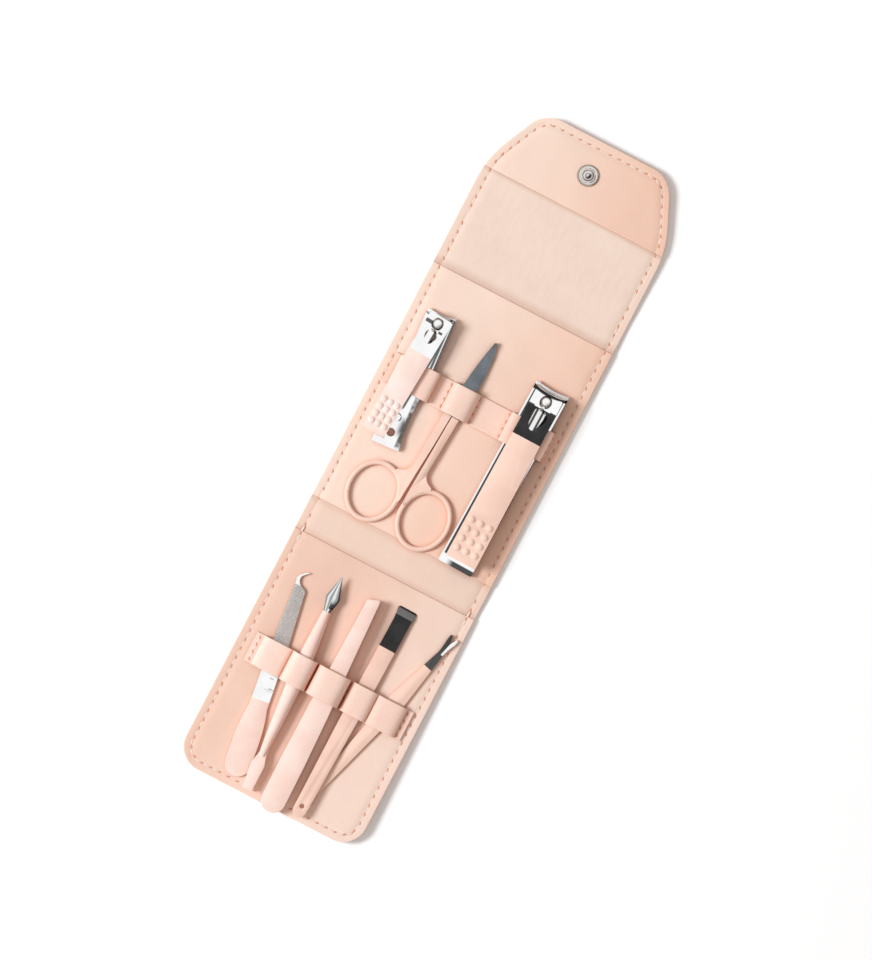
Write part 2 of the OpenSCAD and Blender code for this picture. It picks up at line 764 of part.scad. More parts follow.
// Left half: lower blade, shank to the left ring
module scissor_left_half() {
    hw = blade_w / 2;
    l = blade_len;
    color(coat_c) on_upper() place(scissor_at) difference() {
        union() {
            linear_extrude(half_t) polygon(concat(
                [[0.9, l], [2.5, l * 0.8], [3.3, l * 0.52], [hw + 0.6, l * 0.33], [hw + 0.4, 3], [hw, -1.6]],
                [[-0.4, -5], [-0.5, -6.6], [-3.5, -6.6], [-3.1, -3], [-hw + 0.2, 2], [-1.7, l * 0.25],
                [-0.7, l * 0.52], [-0.2, l * 0.8], [0.3, l]]));
            linear_extrude(ring_t) polygon(concat([[-0.3, -5.4], [-3.5, -5.4], [-3.5, -29]],
                bezier([[-3.5, -29.6], [-3.6, -33.2], [-8, -34.4]], 6),
                [for (t = [70 : -13 : 5]) ring_line(left_ring, t)],
                [[-1, -45], [-0.95, -40], [-0.75, -30.6], [-0.4, -20]]));
            finger_ring(left_ring);
        }
        translate([0, 0, -1]) cylinder(r = scissor_rivet_r, h = 10);
        translate([0, 0, half_t]) cylinder(r = 5.3, h = 10);
        ring_space(left_ring);
    }
}

module scissor_rivet() {
    color(chrome_c) on_upper() place(scissor_at) {
        cylinder(r = scissor_rivet_r, h = 2 * half_t + 0.06);
        translate([0, 0, 2 * half_t + 0.06]) cylinder(r1 = 2, r2 = 1.5, h = 0.35);
    }
}

// Tweezers. The local origin is at the tips, -Y towards the joined end, z = 0 the belly.

tweezer_weld = 9;                            // length of the joined end
tweezer_tip_h = 4.4;

function tweezer_line(s) = let (l = tweezer_len, m = tweezer_h / 2, t = tweezer_t / 2) concat(
    [[-l, m + s * (t + 0.015)], [-l + tweezer_weld, m + s * (t + 0.015)]],
    bezier([[-l + 20, m + s * 1.6], [-l + 48, m + s * m * 0.92], [-26, m + s * (m - t - 0.15)]], 8),
    bezier([[-18, m + s * (m - t - 0.35)], [-8, m + s * (tweezer_tip_h / 2)], [0, m + s * (tweezer_tip_h / 2 - t)]], 4));

module tweezer_plan() {
    l = tweezer_len;
    w = tweezer_w / 2;
    polygon(concat([[w * 0.42, 0.1], [-w * 0.4, -1.4], [-w * 0.5, -2], [-w * 0.72, -32], [-w * 0.9, -48],
        [-w, -l + 22]],
        arc_points([0, -l + w], w, 180, 360, 16),
        [[w, -l + 22], [w * 0.9, -48], [w * 0.72, -32], [w * 0.54, -2], [w * 0.52, -0.2]]));
}

module tweezer_arm(s) {
    place_below(tweezer_at) intersection() {
        across(tweezer_w + 4) polygon(sheet(tweezer_line(s), tweezer_t));
        translate([0, 0, -1]) linear_extrude(20) tweezer_plan();
    }
}

module tweezer_lower_arm() { color(coat_c) on_lower() tweezer_arm(-1); }
module tweezer_upper_arm() { color(coat_c) on_lower() tweezer_arm(1); }

// Flat tools. The local origin is at the top end, -Y towards the handle.

module file() {
    hw = file_w / 2;
    hh = file_handle_w / 2;
    color(coat_c) on_lower() place_below(file_at) linear_extrude(flat_t) polygon(concat(
        [[1.6, 0]],
        bezier([[0.6, -0.35], [-1.6, -1.2], [-2.7, -3.4]], 5),
        [[-2.5, -5.6], [-hw, -32], [-hw - 0.2, -53]],
        bezier([[-hw - 0.2, -56], [-hh, -63], [-hh, -71]], 5),
        [[-hh, -file_len + hh + 2]],
        arc_points([0, -file_len + hh], hh, 190, 350, 14),
        [[hh, -file_len + hh + 2]],
        bezier([[hh, -71], [hh, -63], [hw + 0.2, -56]], 5),
        [[hw + 0.2, -53], [hw, -32], [2.4, -8.4], [2, -7.2]],
        bezier([[1.2, -6.6], [-1.4, -5.6], [-1.2, -3.4]], 4),
        bezier([[-1, -2.6], [0.2, -1.1], [1.7, -0.5]], 4)));
}

module pusher() {
    r = pusher_d / 2;
    l = pusher_len;
    color(coat_c) on_lower() place_below(pusher_at) translate([0, 0, r]) {
        // Conical handle
        rotate([90, 0, 0]) rotate_extrude() polygon(concat([[0, 14], [1.55, 14], [1.55, 15.3]],
            bezier([[2.3, 24], [r, 34], [r, 40]], 6),
            bezier([[r, 44], [2.9, 56], [1.5, 74]], 6), [[1.3, 77], [0, 77]]));
        // Spear: diamond outline with a ridge along its middle
        spear();
        // Flat chisel end
        translate([0, 0, -0.6]) linear_extrude(1.2) polygon(rounded([[-1.3, -75], [1.3, -75], [2.7, -80.5],
            [2, -l], [-2, -l], [-2.7, -80.5]], [0, 0, 1.2, 0.6, 0.6, 1.2]));
    }
}

module spear() {
    p = [[0, 0, 0], [2.9, -9.6, 0], [1.55, -14.6, 0], [-1.55, -14.6, 0], [-2.9, -9.6, 0],
        [0, -9, 1.1], [0, -14.6, 1.4], [0, -9, -1.1], [0, -14.6, -1.4]];
    polyhedron(p, [[0, 5, 4], [0, 1, 5], [1, 2, 5], [2, 6, 5], [4, 5, 3], [3, 5, 6],
        [0, 4, 7], [0, 7, 1], [1, 7, 2], [2, 7, 8], [4, 3, 7], [3, 8, 7], [2, 8, 6], [3, 6, 8]]);
}

knife_lift = 1.4;                            // the knife's tail lies on the fork

module knife() {
    hw = knife_head_w / 2;
    bar = 3.45;
    tail = 2.7;
    l = knife_len;
    color(coat_c) on_lower() place_below(knife_at) rotate([-knife_lift, 0, 0]) difference() {
        linear_extrude(flat_t) polygon(concat(
            [[-hw + 0.8, 0], [-hw + 0.2, -0.3], [-hw, -1.1], [-hw + 0.3, -2.6], [-bar, -5], [-bar, -45]],
            arc_points([0, -l + tail], tail, 180, 360, 12),
            [[bar, -45], [bar, -5], [hw - 0.3, -2.6], [hw, -1.1], [hw - 0.2, -0.3], [hw - 0.8, 0]]));
        translate([0, -3.1, flat_t]) rotate([-18, 0, 0]) translate([-10, 0, 0]) cube([20, 10, 5]);
        translate([0, -l + 4.6, -1]) cylinder(r = 0.95, h = 10);
    }
}

module fork() {
    w = fork_w / 2;
    l = fork_len;
    color(coat_c) on_lower() place_below(fork_at) difference() {
        linear_extrude(flat_t) polygon(concat([[-2, 0], [-1.1, 0.1], [0, -3.4], [1.1, 0.1], [2, -0.3]],
            bezier([[1.9, -2.4], [1.3, -5], [1.15, -8]], 4),
            [[1.95, -16.2], [w, -34], [w * 0.86, -48], [1.6, -l + 4]],
            arc_points([0, -l + 1.6], 1.5, 0, -180, 8),
            [[-1.6, -l + 4], [-w * 0.86, -48], [-w, -34], [-1.95, -16.2]],
            bezier([[-1.15, -8], [-1.3, -5], [-1.9, -2.4]], 4)));
        // Hollow of the cutting V
        translate([0, 0.6, flat_t]) rotate([-12, 0, 0]) translate([0, 0, -0.1]) scale([1, 3, 1])
            cylinder(r = 0.9, h = 2);
    }
}

cover_upper();
cover_fold();
cover_lower();
cover_flap_fold();
cover_flap();
board_upper();
board_lower();
board_flap();
lining_upper();
lining_fold();
lining_lower();
lining_flap_fold();
lining_flap();
facing_upper();
facing_fold();
facing_lower();
facing_flap();
upper_loops();
lower_loops();
snap_cap();
snap_socket();
snap_stud();
snap_stud_back();
large_lower_arm();
large_upper_arm();
large_rivet();
large_post();
large_lever();
small_lower_arm();
small_upper_arm();
small_rivet();
small_post();
small_lever();
scissor_right_half();
scissor_left_half();
scissor_rivet();
tweezer_lower_arm();
tweezer_upper_arm();
file();
pusher();
knife();
fork();
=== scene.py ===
import json
import math
import bpy
import numpy as np
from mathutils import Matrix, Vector

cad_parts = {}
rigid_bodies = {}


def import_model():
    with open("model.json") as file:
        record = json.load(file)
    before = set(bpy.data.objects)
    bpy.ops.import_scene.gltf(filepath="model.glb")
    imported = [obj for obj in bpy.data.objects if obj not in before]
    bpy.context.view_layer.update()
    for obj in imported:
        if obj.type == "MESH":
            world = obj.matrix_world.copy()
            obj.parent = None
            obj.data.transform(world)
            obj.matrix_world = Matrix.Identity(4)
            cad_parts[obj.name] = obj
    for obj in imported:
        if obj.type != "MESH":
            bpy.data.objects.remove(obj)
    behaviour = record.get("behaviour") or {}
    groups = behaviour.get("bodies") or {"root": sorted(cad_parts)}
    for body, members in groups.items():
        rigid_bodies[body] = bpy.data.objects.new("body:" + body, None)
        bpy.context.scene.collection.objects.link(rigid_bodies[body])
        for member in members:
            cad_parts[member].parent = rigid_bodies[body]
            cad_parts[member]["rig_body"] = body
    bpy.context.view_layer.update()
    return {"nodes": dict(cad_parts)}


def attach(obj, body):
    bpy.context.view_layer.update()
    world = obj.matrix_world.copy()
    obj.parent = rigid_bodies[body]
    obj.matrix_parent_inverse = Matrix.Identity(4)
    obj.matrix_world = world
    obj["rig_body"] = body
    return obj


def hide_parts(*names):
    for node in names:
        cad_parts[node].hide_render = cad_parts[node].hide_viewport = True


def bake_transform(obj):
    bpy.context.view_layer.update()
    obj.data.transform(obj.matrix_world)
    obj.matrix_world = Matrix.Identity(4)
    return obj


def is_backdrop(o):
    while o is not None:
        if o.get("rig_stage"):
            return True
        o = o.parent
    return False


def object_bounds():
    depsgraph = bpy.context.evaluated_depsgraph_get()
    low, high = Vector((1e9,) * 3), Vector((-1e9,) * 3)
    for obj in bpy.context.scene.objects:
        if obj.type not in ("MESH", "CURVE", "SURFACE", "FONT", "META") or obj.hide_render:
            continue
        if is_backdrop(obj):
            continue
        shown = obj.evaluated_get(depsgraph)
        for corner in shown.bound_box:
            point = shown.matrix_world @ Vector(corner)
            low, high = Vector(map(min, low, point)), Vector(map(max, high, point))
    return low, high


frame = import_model()
nodes = frame["nodes"]

# Sizes of the case in millimetres, as in the part's source: half width, thicknesses, fold lines and ends along Y
HALF_W = 39.5
COVER, BOARD, LINING, FACING, STRIP = 0.8, 0.6, 0.4, 0.5, 0.7
PANEL = COVER + BOARD + LINING + FACING
AXIS_Z = COVER / 2
LOWER_END, LOWER_Y, FOLD_Y, UPPER_Y, FLAP_Y, FLAP_END = -143.5, -48.0, -31.0, 75.5, 96.7, 146.5
LOWER_TILT, FLAP_TILT = math.radians(1.2381), math.radians(1.615)
CORNER = 10  # radius of the lower corners
FLAP_SLOPE, FLAP_TIP = 26, 27.5  # the flap narrows over this length, to this half width
SHOULDER_R, TIP_R = 40, 12  # radii where the flap's sides begin to slope, and at its end
FLAP_CURVES = 110  # the flap's sides are straight below this y
LOWER_FACING_TOP, FLAP_FACING_LOW = FOLD_Y - 11, FLAP_END - 29
UPPER_FACING_LOW, UPPER_FACING_TOP = FOLD_Y + 3.5, UPPER_Y - 0.6
BOARD_IN, BOARD_BY_FOLD = 4.3, 1.3  # the boards end this far from the edge and from a fold line
FOLD_DIP, FOLD_REACH = 0.25, 1.6  # the lining's dip over a fold, and how far each side of a fold line bends
MARGIN_DIP, MARGIN_IN, MARGIN_RISE = 0.22, 3.6, 2.0  # the margin's depth and width, and the width of its slope
GROOVE_DIP, GROOVE_WIDE = 0.16, 0.55
STITCH_IN, STITCH_PITCH, LOOP_PITCH = 3.1, 3.9, 3.1
SNAP_X, SNAP_Y = -1.3, FLAP_Y + 35.6
UPPER_STRIP, LOWER_STRIP = (-35.5, 34.6), (-33.5, 35.2)  # the loop strips' ends along X
UPPER_STRIP_Y, LOWER_STRIP_Y = (24.5, 36.9), (-97.3, -84.9)
KNOB_R = 1.95
CONTACT_SHADE_MM = 3.0  # reach of the shading where two pieces meet
WELD = 2e-6  # metres within which points are joined

# Clippers: rear end of the arms, their turn, half width, length; the post; the lever's turn
LARGE = {"rear": (23.1, -27.6, 0), "turn": -1.35, "half": 7.2, "long": 80.0,
         "post": (24.84, 46.08, 0), "lever": -0.65}
SMALL = {"rear": (-23.0, 2.2, 0), "turn": 3.9, "half": 6.0, "long": 56.5,
         "post": (-26.51, 53.68, 0), "lever": -3.6}

# The other tools: the end or pivot that their finish is measured from, and their turn
SCISSORS = (-4.7, 30.5, 0), -3.1
FILE = (-27.55, -55.4, 0), 7.95
PUSHER = (-14, -50.3, 0), 3.2
KNIFE = (14.7, -50.3, 0), -1
FORK = (35.9, -51.8, 0), -15.1


def light_value(c):
    """sRGB 0-255 to the linear value that a shader takes."""
    c = c / 255
    return c / 12.92 if c <= 0.04045 else ((c + 0.055) / 1.055) ** 2.4


def rgb(r, g, b):
    """A shader's colour from sRGB 0-255."""
    return (light_value(r), light_value(g), light_value(b), 1.0)


def turned(degrees):
    """Direction of a tool that points towards +Y and is turned about Z."""
    a = math.radians(degrees)
    return (-math.sin(a), math.cos(a), 0)


def sideways(degrees):
    """Direction across such a tool, towards +X."""
    a = math.radians(degrees)
    return (math.cos(a), math.sin(a), 0)


# ---- Materials


class Shader:
    """One material's node tree, with short ways to add and join nodes."""

    def __init__(self, name):
        self.material = bpy.data.materials.new(name)
        self.material.use_nodes = True
        self.tree = self.material.node_tree
        self.bsdf = self.tree.nodes["Principled BSDF"]

    def add(self, kind, inputs=(), **settings):
        n = self.tree.nodes.new(kind)
        for k, v in settings.items():
            setattr(n, k, v)
        for k, v in dict(inputs).items():
            self.put(n.inputs[k], v)
        return n

    def put(self, socket, value):
        if isinstance(value, bpy.types.NodeSocket):
            self.tree.links.new(value, socket)
        else:
            socket.default_value = value

    def set(self, **inputs):
        for k, v in inputs.items():
            self.put(self.bsdf.inputs[k.replace("_", " ")], v)

    def mm(self):
        """Object coordinates in millimetres."""
        place = self.add("ShaderNodeTexCoord").outputs["Object"]
        return self.add("ShaderNodeMapping", {"Vector": place, "Scale": (1000, 1000, 1000)}).outputs[0]

    def math(self, operation, a, b=0.0, c=0.0):
        return self.add("ShaderNodeMath", {0: a, 1: b, 2: c}, operation=operation).outputs[0]

    def along(self, mm, start, direction):
        """Distance in millimetres from start along direction."""
        d = Vector(direction).normalized()
        dot = self.add("ShaderNodeVectorMath", {0: mm, 1: d}, operation="DOT_PRODUCT").outputs["Value"]
        return self.math("SUBTRACT", dot, d.dot(Vector(start)))

    def ring(self, mm, centre):
        """Distance in millimetres from an upright axis through centre."""
        centre = (centre[0], centre[1], 0)
        off = self.add("ShaderNodeVectorMath", {0: mm, 1: centre}, operation="SUBTRACT").outputs[0]
        flat = self.add("ShaderNodeVectorMath", {0: off, 1: (1, 1, 0)}, operation="MULTIPLY").outputs[0]
        return self.add("ShaderNodeVectorMath", {0: flat}, operation="LENGTH").outputs["Value"]

    def band(self, value, low, high, soft=0.15):
        """1 between low and high, 0 outside, with soft edges."""
        rise = self.step(value, low - soft, low + soft)
        return self.math("MULTIPLY", rise, self.below(value, high - soft, high + soft))

    def all_of(self, *shares):
        out = shares[0]
        for share in shares[1:]:
            out = self.math("MULTIPLY", out, share)
        return out

    def any_of(self, *shares):
        out = shares[0]
        for share in shares[1:]:
            out = self.math("MAXIMUM", out, share)
        return out

    def step(self, value, low, high, to_low=0.0, to_high=1.0):
        """Smooth step from to_low at low to to_high at high."""
        reach = {"From Min": low, "From Max": high, "To Min": to_low, "To Max": to_high}
        return self.add("ShaderNodeMapRange", {"Value": value, **reach}, interpolation_type="SMOOTHSTEP").outputs[0]

    def below(self, value, low, high):
        """1 below low, 0 above high."""
        return self.step(value, low, high, 1.0, 0.0)

    def noise(self, mm, per_mm, detail=3.0, roughness=0.5, stretch=None):
        if stretch:
            mm = self.add("ShaderNodeMapping", {"Vector": mm, "Scale": stretch}).outputs[0]
        inputs = {"Vector": mm, "Scale": per_mm, "Detail": detail, "Roughness": roughness}
        return self.add("ShaderNodeTexNoise", inputs).outputs["Fac"]

    def cells(self, mm, per_mm):
        inputs = {"Vector": mm, "Scale": per_mm}
        return self.add("ShaderNodeTexVoronoi", inputs, feature="SMOOTH_F1").outputs["Distance"]

    def height(self, mm):
        return self.add("ShaderNodeSeparateXYZ", {"Vector": mm}).outputs["Z"]

    def mix(self, share, a, b):
        """Colour a, with b over it by share."""
        n = self.add("ShaderNodeMix", data_type="RGBA")
        self.put(n.inputs[0], share)
        self.put(n.inputs[6], a)
        self.put(n.inputs[7], b)
        return n.outputs[2]

    def blend(self, share, a, b):
        """Number between a and b by share."""
        n = self.add("ShaderNodeMix", data_type="FLOAT")
        self.put(n.inputs[0], share)
        self.put(n.inputs[2], a)
        self.put(n.inputs[3], b)
        return n.outputs[0]

    def painted_contact_shade(self, mm_far, colour, tint, strength):
        """The colour with painted contact shade: warmer and deeper where other pieces stand close over it."""
        near = self.add("ShaderNodeAmbientOcclusion", {"Distance": mm_far / 1000}, samples=8)
        share = self.math("MULTIPLY", self.below(near.outputs["AO"], 0.25, 0.95), strength)
        return self.mix(share, colour, tint)

    def bump(self, height, mm_deep, strength, over=None):
        inputs = {"Height": height, "Distance": mm_deep / 1000, "Strength": strength}
        if over is not None:
            inputs["Normal"] = over
        return self.add("ShaderNodeBump", inputs).outputs[0]


def smooth_leather(name, light, deep, rough=0.45, painted_shading=None):
    """Smooth grained leather; an optional gradient (start, direction, mm) turns it from light to deep, as painted shade
    across a panel.
    """
    s = Shader(name)
    mm = s.mm()
    broad = s.noise(mm, 0.03, 2.0)
    fine = s.noise(mm, 0.9, 4.0, 0.6)
    tone = s.math("MULTIPLY_ADD", fine, 0.35, s.math("MULTIPLY", broad, 0.65))
    tone = s.step(tone, 0.3, 0.7)
    # The gradient from light to deep is painted shade, standing in for how light falls on a gently puffed panel.
    if painted_shading:
        start, direction, length = painted_shading
        shading_share = s.math("MULTIPLY", s.step(s.along(mm, start, direction), 0, length), 0.78)
        tone = s.math("MULTIPLY_ADD", tone, 0.22, shading_share)
    # Painted contact shade darkens the leather where other pieces stand close over it.
    s.set(Base_Color=s.painted_contact_shade(CONTACT_SHADE_MM, s.mix(tone, light, deep), rgb(214, 138, 102), 0.6))
    s.set(Roughness=s.blend(fine, rough - 0.06, rough + 0.1), Specular_IOR_Level=0.3)
    s.set(Subsurface_Weight=0.1, Subsurface_Radius=(1.0, 0.35, 0.2), Subsurface_Scale=0.0012)
    grain = s.cells(mm, 1.7)
    pores = s.noise(mm, 5.0, 2.0, 0.6)
    waves = s.noise(mm, 0.05, 1.0)
    normal = s.bump(waves, 1.6, 0.6)
    normal = s.bump(grain, 0.05, 0.5, normal)
    s.set(Normal=s.bump(pores, 0.03, 0.5, normal))
    return s.material


def suede(name, light, deep):
    """Napped cloth, warmer in its pressed margin, with painted shadow beside the facings' edges, and deeper on the
    lower fold.
    """
    s = Shader(name)
    mm = s.mm()
    broad = s.noise(mm, 0.05, 3.0)
    nap = s.noise(mm, 3.2, 5.0, 0.7)
    strokes = s.noise(mm, 0.5, 3.0, 0.6, stretch=(1.0, 0.35, 1.0))
    tone = s.math("MULTIPLY_ADD", nap, 0.4, s.math("MULTIPLY_ADD", strokes, 0.3, s.math("MULTIPLY", broad, 0.3)))
    colour = s.mix(s.step(tone, 0.32, 0.68), deep, light)
    split = s.add("ShaderNodeSeparateXYZ", {"Vector": mm})
    x, y = s.math("ABSOLUTE", split.outputs["X"]), split.outputs["Y"]
    colour = s.mix(s.math("MULTIPLY", s.step(x, 35.6, 37.4), 0.45), colour, rgb(247, 213, 195))
    # Painted shadow: brown bands on the cloth where the facings' raised edges shade it.
    facing_edge_shadow = []
    for place, reach in ((UPPER_FACING_TOP, 4.5), (FLAP_FACING_LOW, -2.2),
                         (UPPER_FACING_LOW, -3.5), (LOWER_FACING_TOP, 3.0)):
        side = s.math("MULTIPLY", s.math("SUBTRACT", y, place), 1 if reach > 0 else -1)
        facing_edge_shadow.append(s.all_of(s.below(side, 0.0, abs(reach)), s.step(side, -1.0, -0.6)))
    colour = s.mix(s.math("MULTIPLY", s.any_of(*facing_edge_shadow), 0.5), colour, rgb(205, 162, 140))
    shade = s.math("MULTIPLY", s.step(y, 10, -30), 0.45)
    colour = s.mix(shade, colour, rgb(234, 198, 179))
    # Painted contact shade darkens the cloth where other pieces stand close over it.
    s.set(Base_Color=s.painted_contact_shade(CONTACT_SHADE_MM, colour, rgb(204, 148, 116), 0.55))
    s.set(Roughness=0.92, Specular_IOR_Level=0.15, Sheen_Weight=0.12, Sheen_Roughness=0.5)
    s.set(Normal=s.bump(nap, 0.12, 0.6, s.bump(strokes, 0.15, 0.3)))
    return s.material


def plain_edge(name, light, deep):
    """Cut edge of the layers, with its dyed fibres."""
    s = Shader(name)
    mm = s.mm()
    fibres = s.noise(mm, 2.0, 4.0, 0.6, stretch=(1.0, 1.0, 4.0))
    s.set(Base_Color=s.mix(s.step(fibres, 0.35, 0.65), light, deep), Roughness=0.8, Normal=s.bump(fibres, 0.08, 0.5))
    return s.material


# Light and deep tones of each coating and metal
COAT = rgb(253, 229, 220), rgb(249, 219, 207)
WARM_COAT = rgb(249, 213, 196), rgb(244, 205, 187)
FILE_COAT = rgb(246, 217, 205), rgb(241, 208, 194)
TOOL_COAT = rgb(252, 222, 210), rgb(247, 213, 199)
# The knife bar's coat is a darker copy of the coat, as painted shade of the bar.
SHADED_BAR_COAT = rgb(243, 206, 189), rgb(237, 197, 179)
STEEL, STEEL_DEEP = (0.97, 0.97, 0.97, 1), (0.9, 0.9, 0.9, 1)
# SHADE and the brown are the colours of painted dark reflections and shade.
SHADE, PAINTED_BROWN = (0.035, 0.034, 0.035, 1), (0.2, 0.15, 0.12, 1)
DARK, DARK_DEEP = (0.048, 0.047, 0.048, 1), (0.03, 0.03, 0.03, 1)


def coat_parts(s, mm, tones):
    """Colour, roughness and bump of the peach coating."""
    orange_peel = s.noise(mm, 1.4, 2.0)
    tone = s.noise(mm, 0.08, 3.0)
    return s.mix(s.step(tone, 0.35, 0.65), *tones), s.blend(orange_peel, 0.3, 0.42), orange_peel


def steel_parts(s, mm, light, deep, rough):
    """Colour, roughness and bump of polished steel with fine strokes."""
    strokes = s.noise(mm, 3.0, 4.0, 0.65, stretch=(1.0, 0.06, 1.0))
    cloud = s.noise(mm, 0.15, 3.0)
    tone = s.math("MULTIPLY_ADD", strokes, 0.4, s.math("MULTIPLY", cloud, 0.6))
    return s.mix(s.step(tone, 0.35, 0.65), light, deep), s.blend(strokes, rough, rough + 0.06), strokes


def coated(name, tones):
    """Coating all over."""
    s = Shader(name)
    colour, rough, peel = coat_parts(s, s.mm(), tones)
    s.set(Base_Color=colour, Roughness=rough, Normal=s.bump(peel, 0.02, 0.4))
    s.set(Coat_Weight=0.25, Coat_Roughness=0.2)
    return s.material


def steel(name, light=STEEL, deep=STEEL_DEEP, rough=0.07, painted_reflections=None, lip=None):
    """Polished steel; an optional function (s, mm, colour) paints dark reflections and shade over it, and lip is the
    clipper whose cutting edge is ground.
    """
    s = Shader(name)
    mm = s.mm()
    colour, roughness, strokes = steel_parts(s, mm, light, deep, rough)
    # Painted dark reflections and shade are laid over the steel's colour.
    if painted_reflections:
        colour = painted_reflections(s, mm, colour)
    s.set(Base_Color=colour, Roughness=roughness, Metallic=1.0, Normal=s.bump(strokes, 0.004, 0.15))
    if lip:
        ground_lip(s, lip)
    return s.material


def part_coated(name, place, turn, stretches, rough=0.08, extra=None, tones=COAT):
    """Coating with bare steel on stretches along the tool from place, (from mm, to mm, light, deep).

    extra(s, mm, d, colour, roughness, normal) adds to them, where d is the distance along the tool.
    """
    s = Shader(name)
    mm = s.mm()
    d = s.along(mm, place, turned(turn))
    colour, roughness, peel = coat_parts(s, mm, tones)
    bare = []
    for low, high, light, deep in stretches:
        bare_colour, bare_rough, _ = steel_parts(s, mm, light, deep, rough)
        share = s.band(d, low, high, 0.12)
        colour = s.mix(share, colour, bare_colour)
        roughness = s.blend(share, roughness, bare_rough)
        bare.append(share)
    normal = s.bump(peel, 0.02, 0.3)
    if extra:
        colour, roughness, normal = extra(s, mm, d, colour, roughness, normal)
    s.set(Base_Color=colour, Roughness=roughness, Metallic=s.any_of(*bare), Normal=normal)
    return s.material


PEACH = rgb(250, 221, 205), rgb(242, 198, 175)
leather = smooth_leather("peach leather", rgb(249, 216, 199), rgb(244, 205, 185))
# Each panel's gradient from light to deep is painted shade.
leather_upper = smooth_leather("peach leather, upper", *PEACH, painted_shading=((-34, 0, 0), (1, -0.15, 0), 74))
leather_lower = smooth_leather("peach leather, lower", rgb(237, 197, 177), rgb(248, 219, 204),
                               painted_shading=((-34, -100, 0), (1, -0.25, 0), 66))
leather_flap = smooth_leather("peach leather, flap", *PEACH, painted_shading=((-24, 130, 0), (1, 0.1, 0), 52))
loop_leather = smooth_leather("loop leather", rgb(249, 219, 205), rgb(244, 206, 189), 0.42)
lining = suede("lining cloth", rgb(246, 223, 208), rgb(238, 211, 195))
cut_edge = plain_edge("cut edge", rgb(196, 172, 156), rgb(150, 132, 120))
thread = smooth_leather("stitch thread", rgb(251, 220, 205), rgb(247, 211, 195), 0.6)
# The stitch holes' darker leather is painted shade in the sunken holes.
hole = smooth_leather("stitch hole", rgb(228, 168, 142), rgb(216, 150, 122), 0.7)
grey_board = plain_edge("grey board", rgb(168, 160, 150), rgb(146, 138, 128))
chrome = steel("polished steel")


# ---- Mesh helpers


def new_piece(name, points, faces, materials, face_slots, angle):
    """A new object from points in millimetres, smooth where its faces meet at less than angle."""
    mesh = bpy.data.meshes.new(name)
    mesh.from_pydata([(x / 1000, y / 1000, z / 1000) for x, y, z in points], [], faces)
    for m in materials:
        mesh.materials.append(m)
    mesh.polygons.foreach_set("material_index", face_slots)
    mesh.update()
    piece = bpy.data.objects.new(name, mesh)
    bpy.context.scene.collection.objects.link(piece)
    select_only(piece)
    bpy.ops.object.shade_smooth_by_angle(angle=math.radians(angle))
    return piece


def select_only(piece):
    """Makes a piece the one that operators work on."""
    bpy.ops.object.select_all(action="DESELECT")
    piece.select_set(True)
    bpy.context.view_layer.objects.active = piece


def lay(x, y, z):
    """A point of the flat case, moved to where the two end panels lean."""
    for leans, fold, tilt in ((y < LOWER_Y, LOWER_Y, -LOWER_TILT), (y > FLAP_Y, FLAP_Y, FLAP_TILT)):
        if leans:
            dy, dz = y - fold, z - AXIS_Z
            c, s = math.cos(tilt), math.sin(tilt)
            return x, fold + dy * c - dz * s, AXIS_Z + dy * s + dz * c
    return x, y, z


def ease(t):
    """Smooth rise from 0 to 1."""
    t = min(max(t, 0.0), 1.0)
    return t * t * (3 - 2 * t)


def fillet(a, p, b, r, n):
    """Points of the arc that rounds corner p."""
    a, p, b = (np.array(v, float) for v in (a, p, b))
    if r == 0:
        return [tuple(p)]
    u, v = (a - p) / np.linalg.norm(a - p), (b - p) / np.linalg.norm(b - p)
    half = math.acos(np.clip(u @ v, -1, 1)) / 2
    w = (u + v) / np.linalg.norm(u + v)
    c = p + w * r / math.sin(half)
    s, e = p + u * r / math.tan(half) - c, p + v * r / math.tan(half) - c
    a0 = math.atan2(s[1], s[0])
    turn = math.atan2(s[0] * e[1] - s[1] * e[0], s @ e)
    return [tuple(c + r * np.array([math.cos(a0 + turn * i / n), math.sin(a0 + turn * i / n)])) for i in range(n + 1)]


def rounded_line(points, radii, n):
    """The line through points with its corners rounded by radii."""
    out = [tuple(points[0])]
    for i in range(1, len(points) - 1):
        out += fillet(points[i - 1], points[i], points[i + 1], radii[i], n)
    return out + [tuple(points[-1])]


# Half width of the case at each y: straight sides, rounded bottom, sloping flap
lower_side = fillet((HALF_W, 0), (HALF_W, LOWER_END), (0, LOWER_END), CORNER, 24)
flap_side = rounded_line([(HALF_W, 100), (HALF_W, FLAP_END - FLAP_SLOPE), (FLAP_TIP, FLAP_END), (0, FLAP_END)],
                         [0, SHOULDER_R, TIP_R, 0], 24)[:-1]


def half_width(y):
    """Half the case's width at a y."""
    if y < LOWER_END + CORNER:
        pts = lower_side
    elif y > FLAP_CURVES:
        pts = flap_side
    else:
        return HALF_W
    pts = sorted(pts, key=lambda p: p[1])
    return float(np.interp(y, [p[1] for p in pts], [p[0] for p in pts]))


def board_height(y):
    """Height of the lining over the cover: a board's thickness, with a shallow dip over each fold."""
    for low, high in ((LOWER_Y, FOLD_Y), (UPPER_Y, FLAP_Y)):
        if low < y < high:
            return BOARD - FOLD_DIP * math.sin(math.pi * (y - low) / (high - low)) ** 2
    return BOARD


def from_edge(x, y):
    """Distance of a point inside the case from its edge."""
    return min(half_width(y) - abs(x), y - LOWER_END, FLAP_END - y)


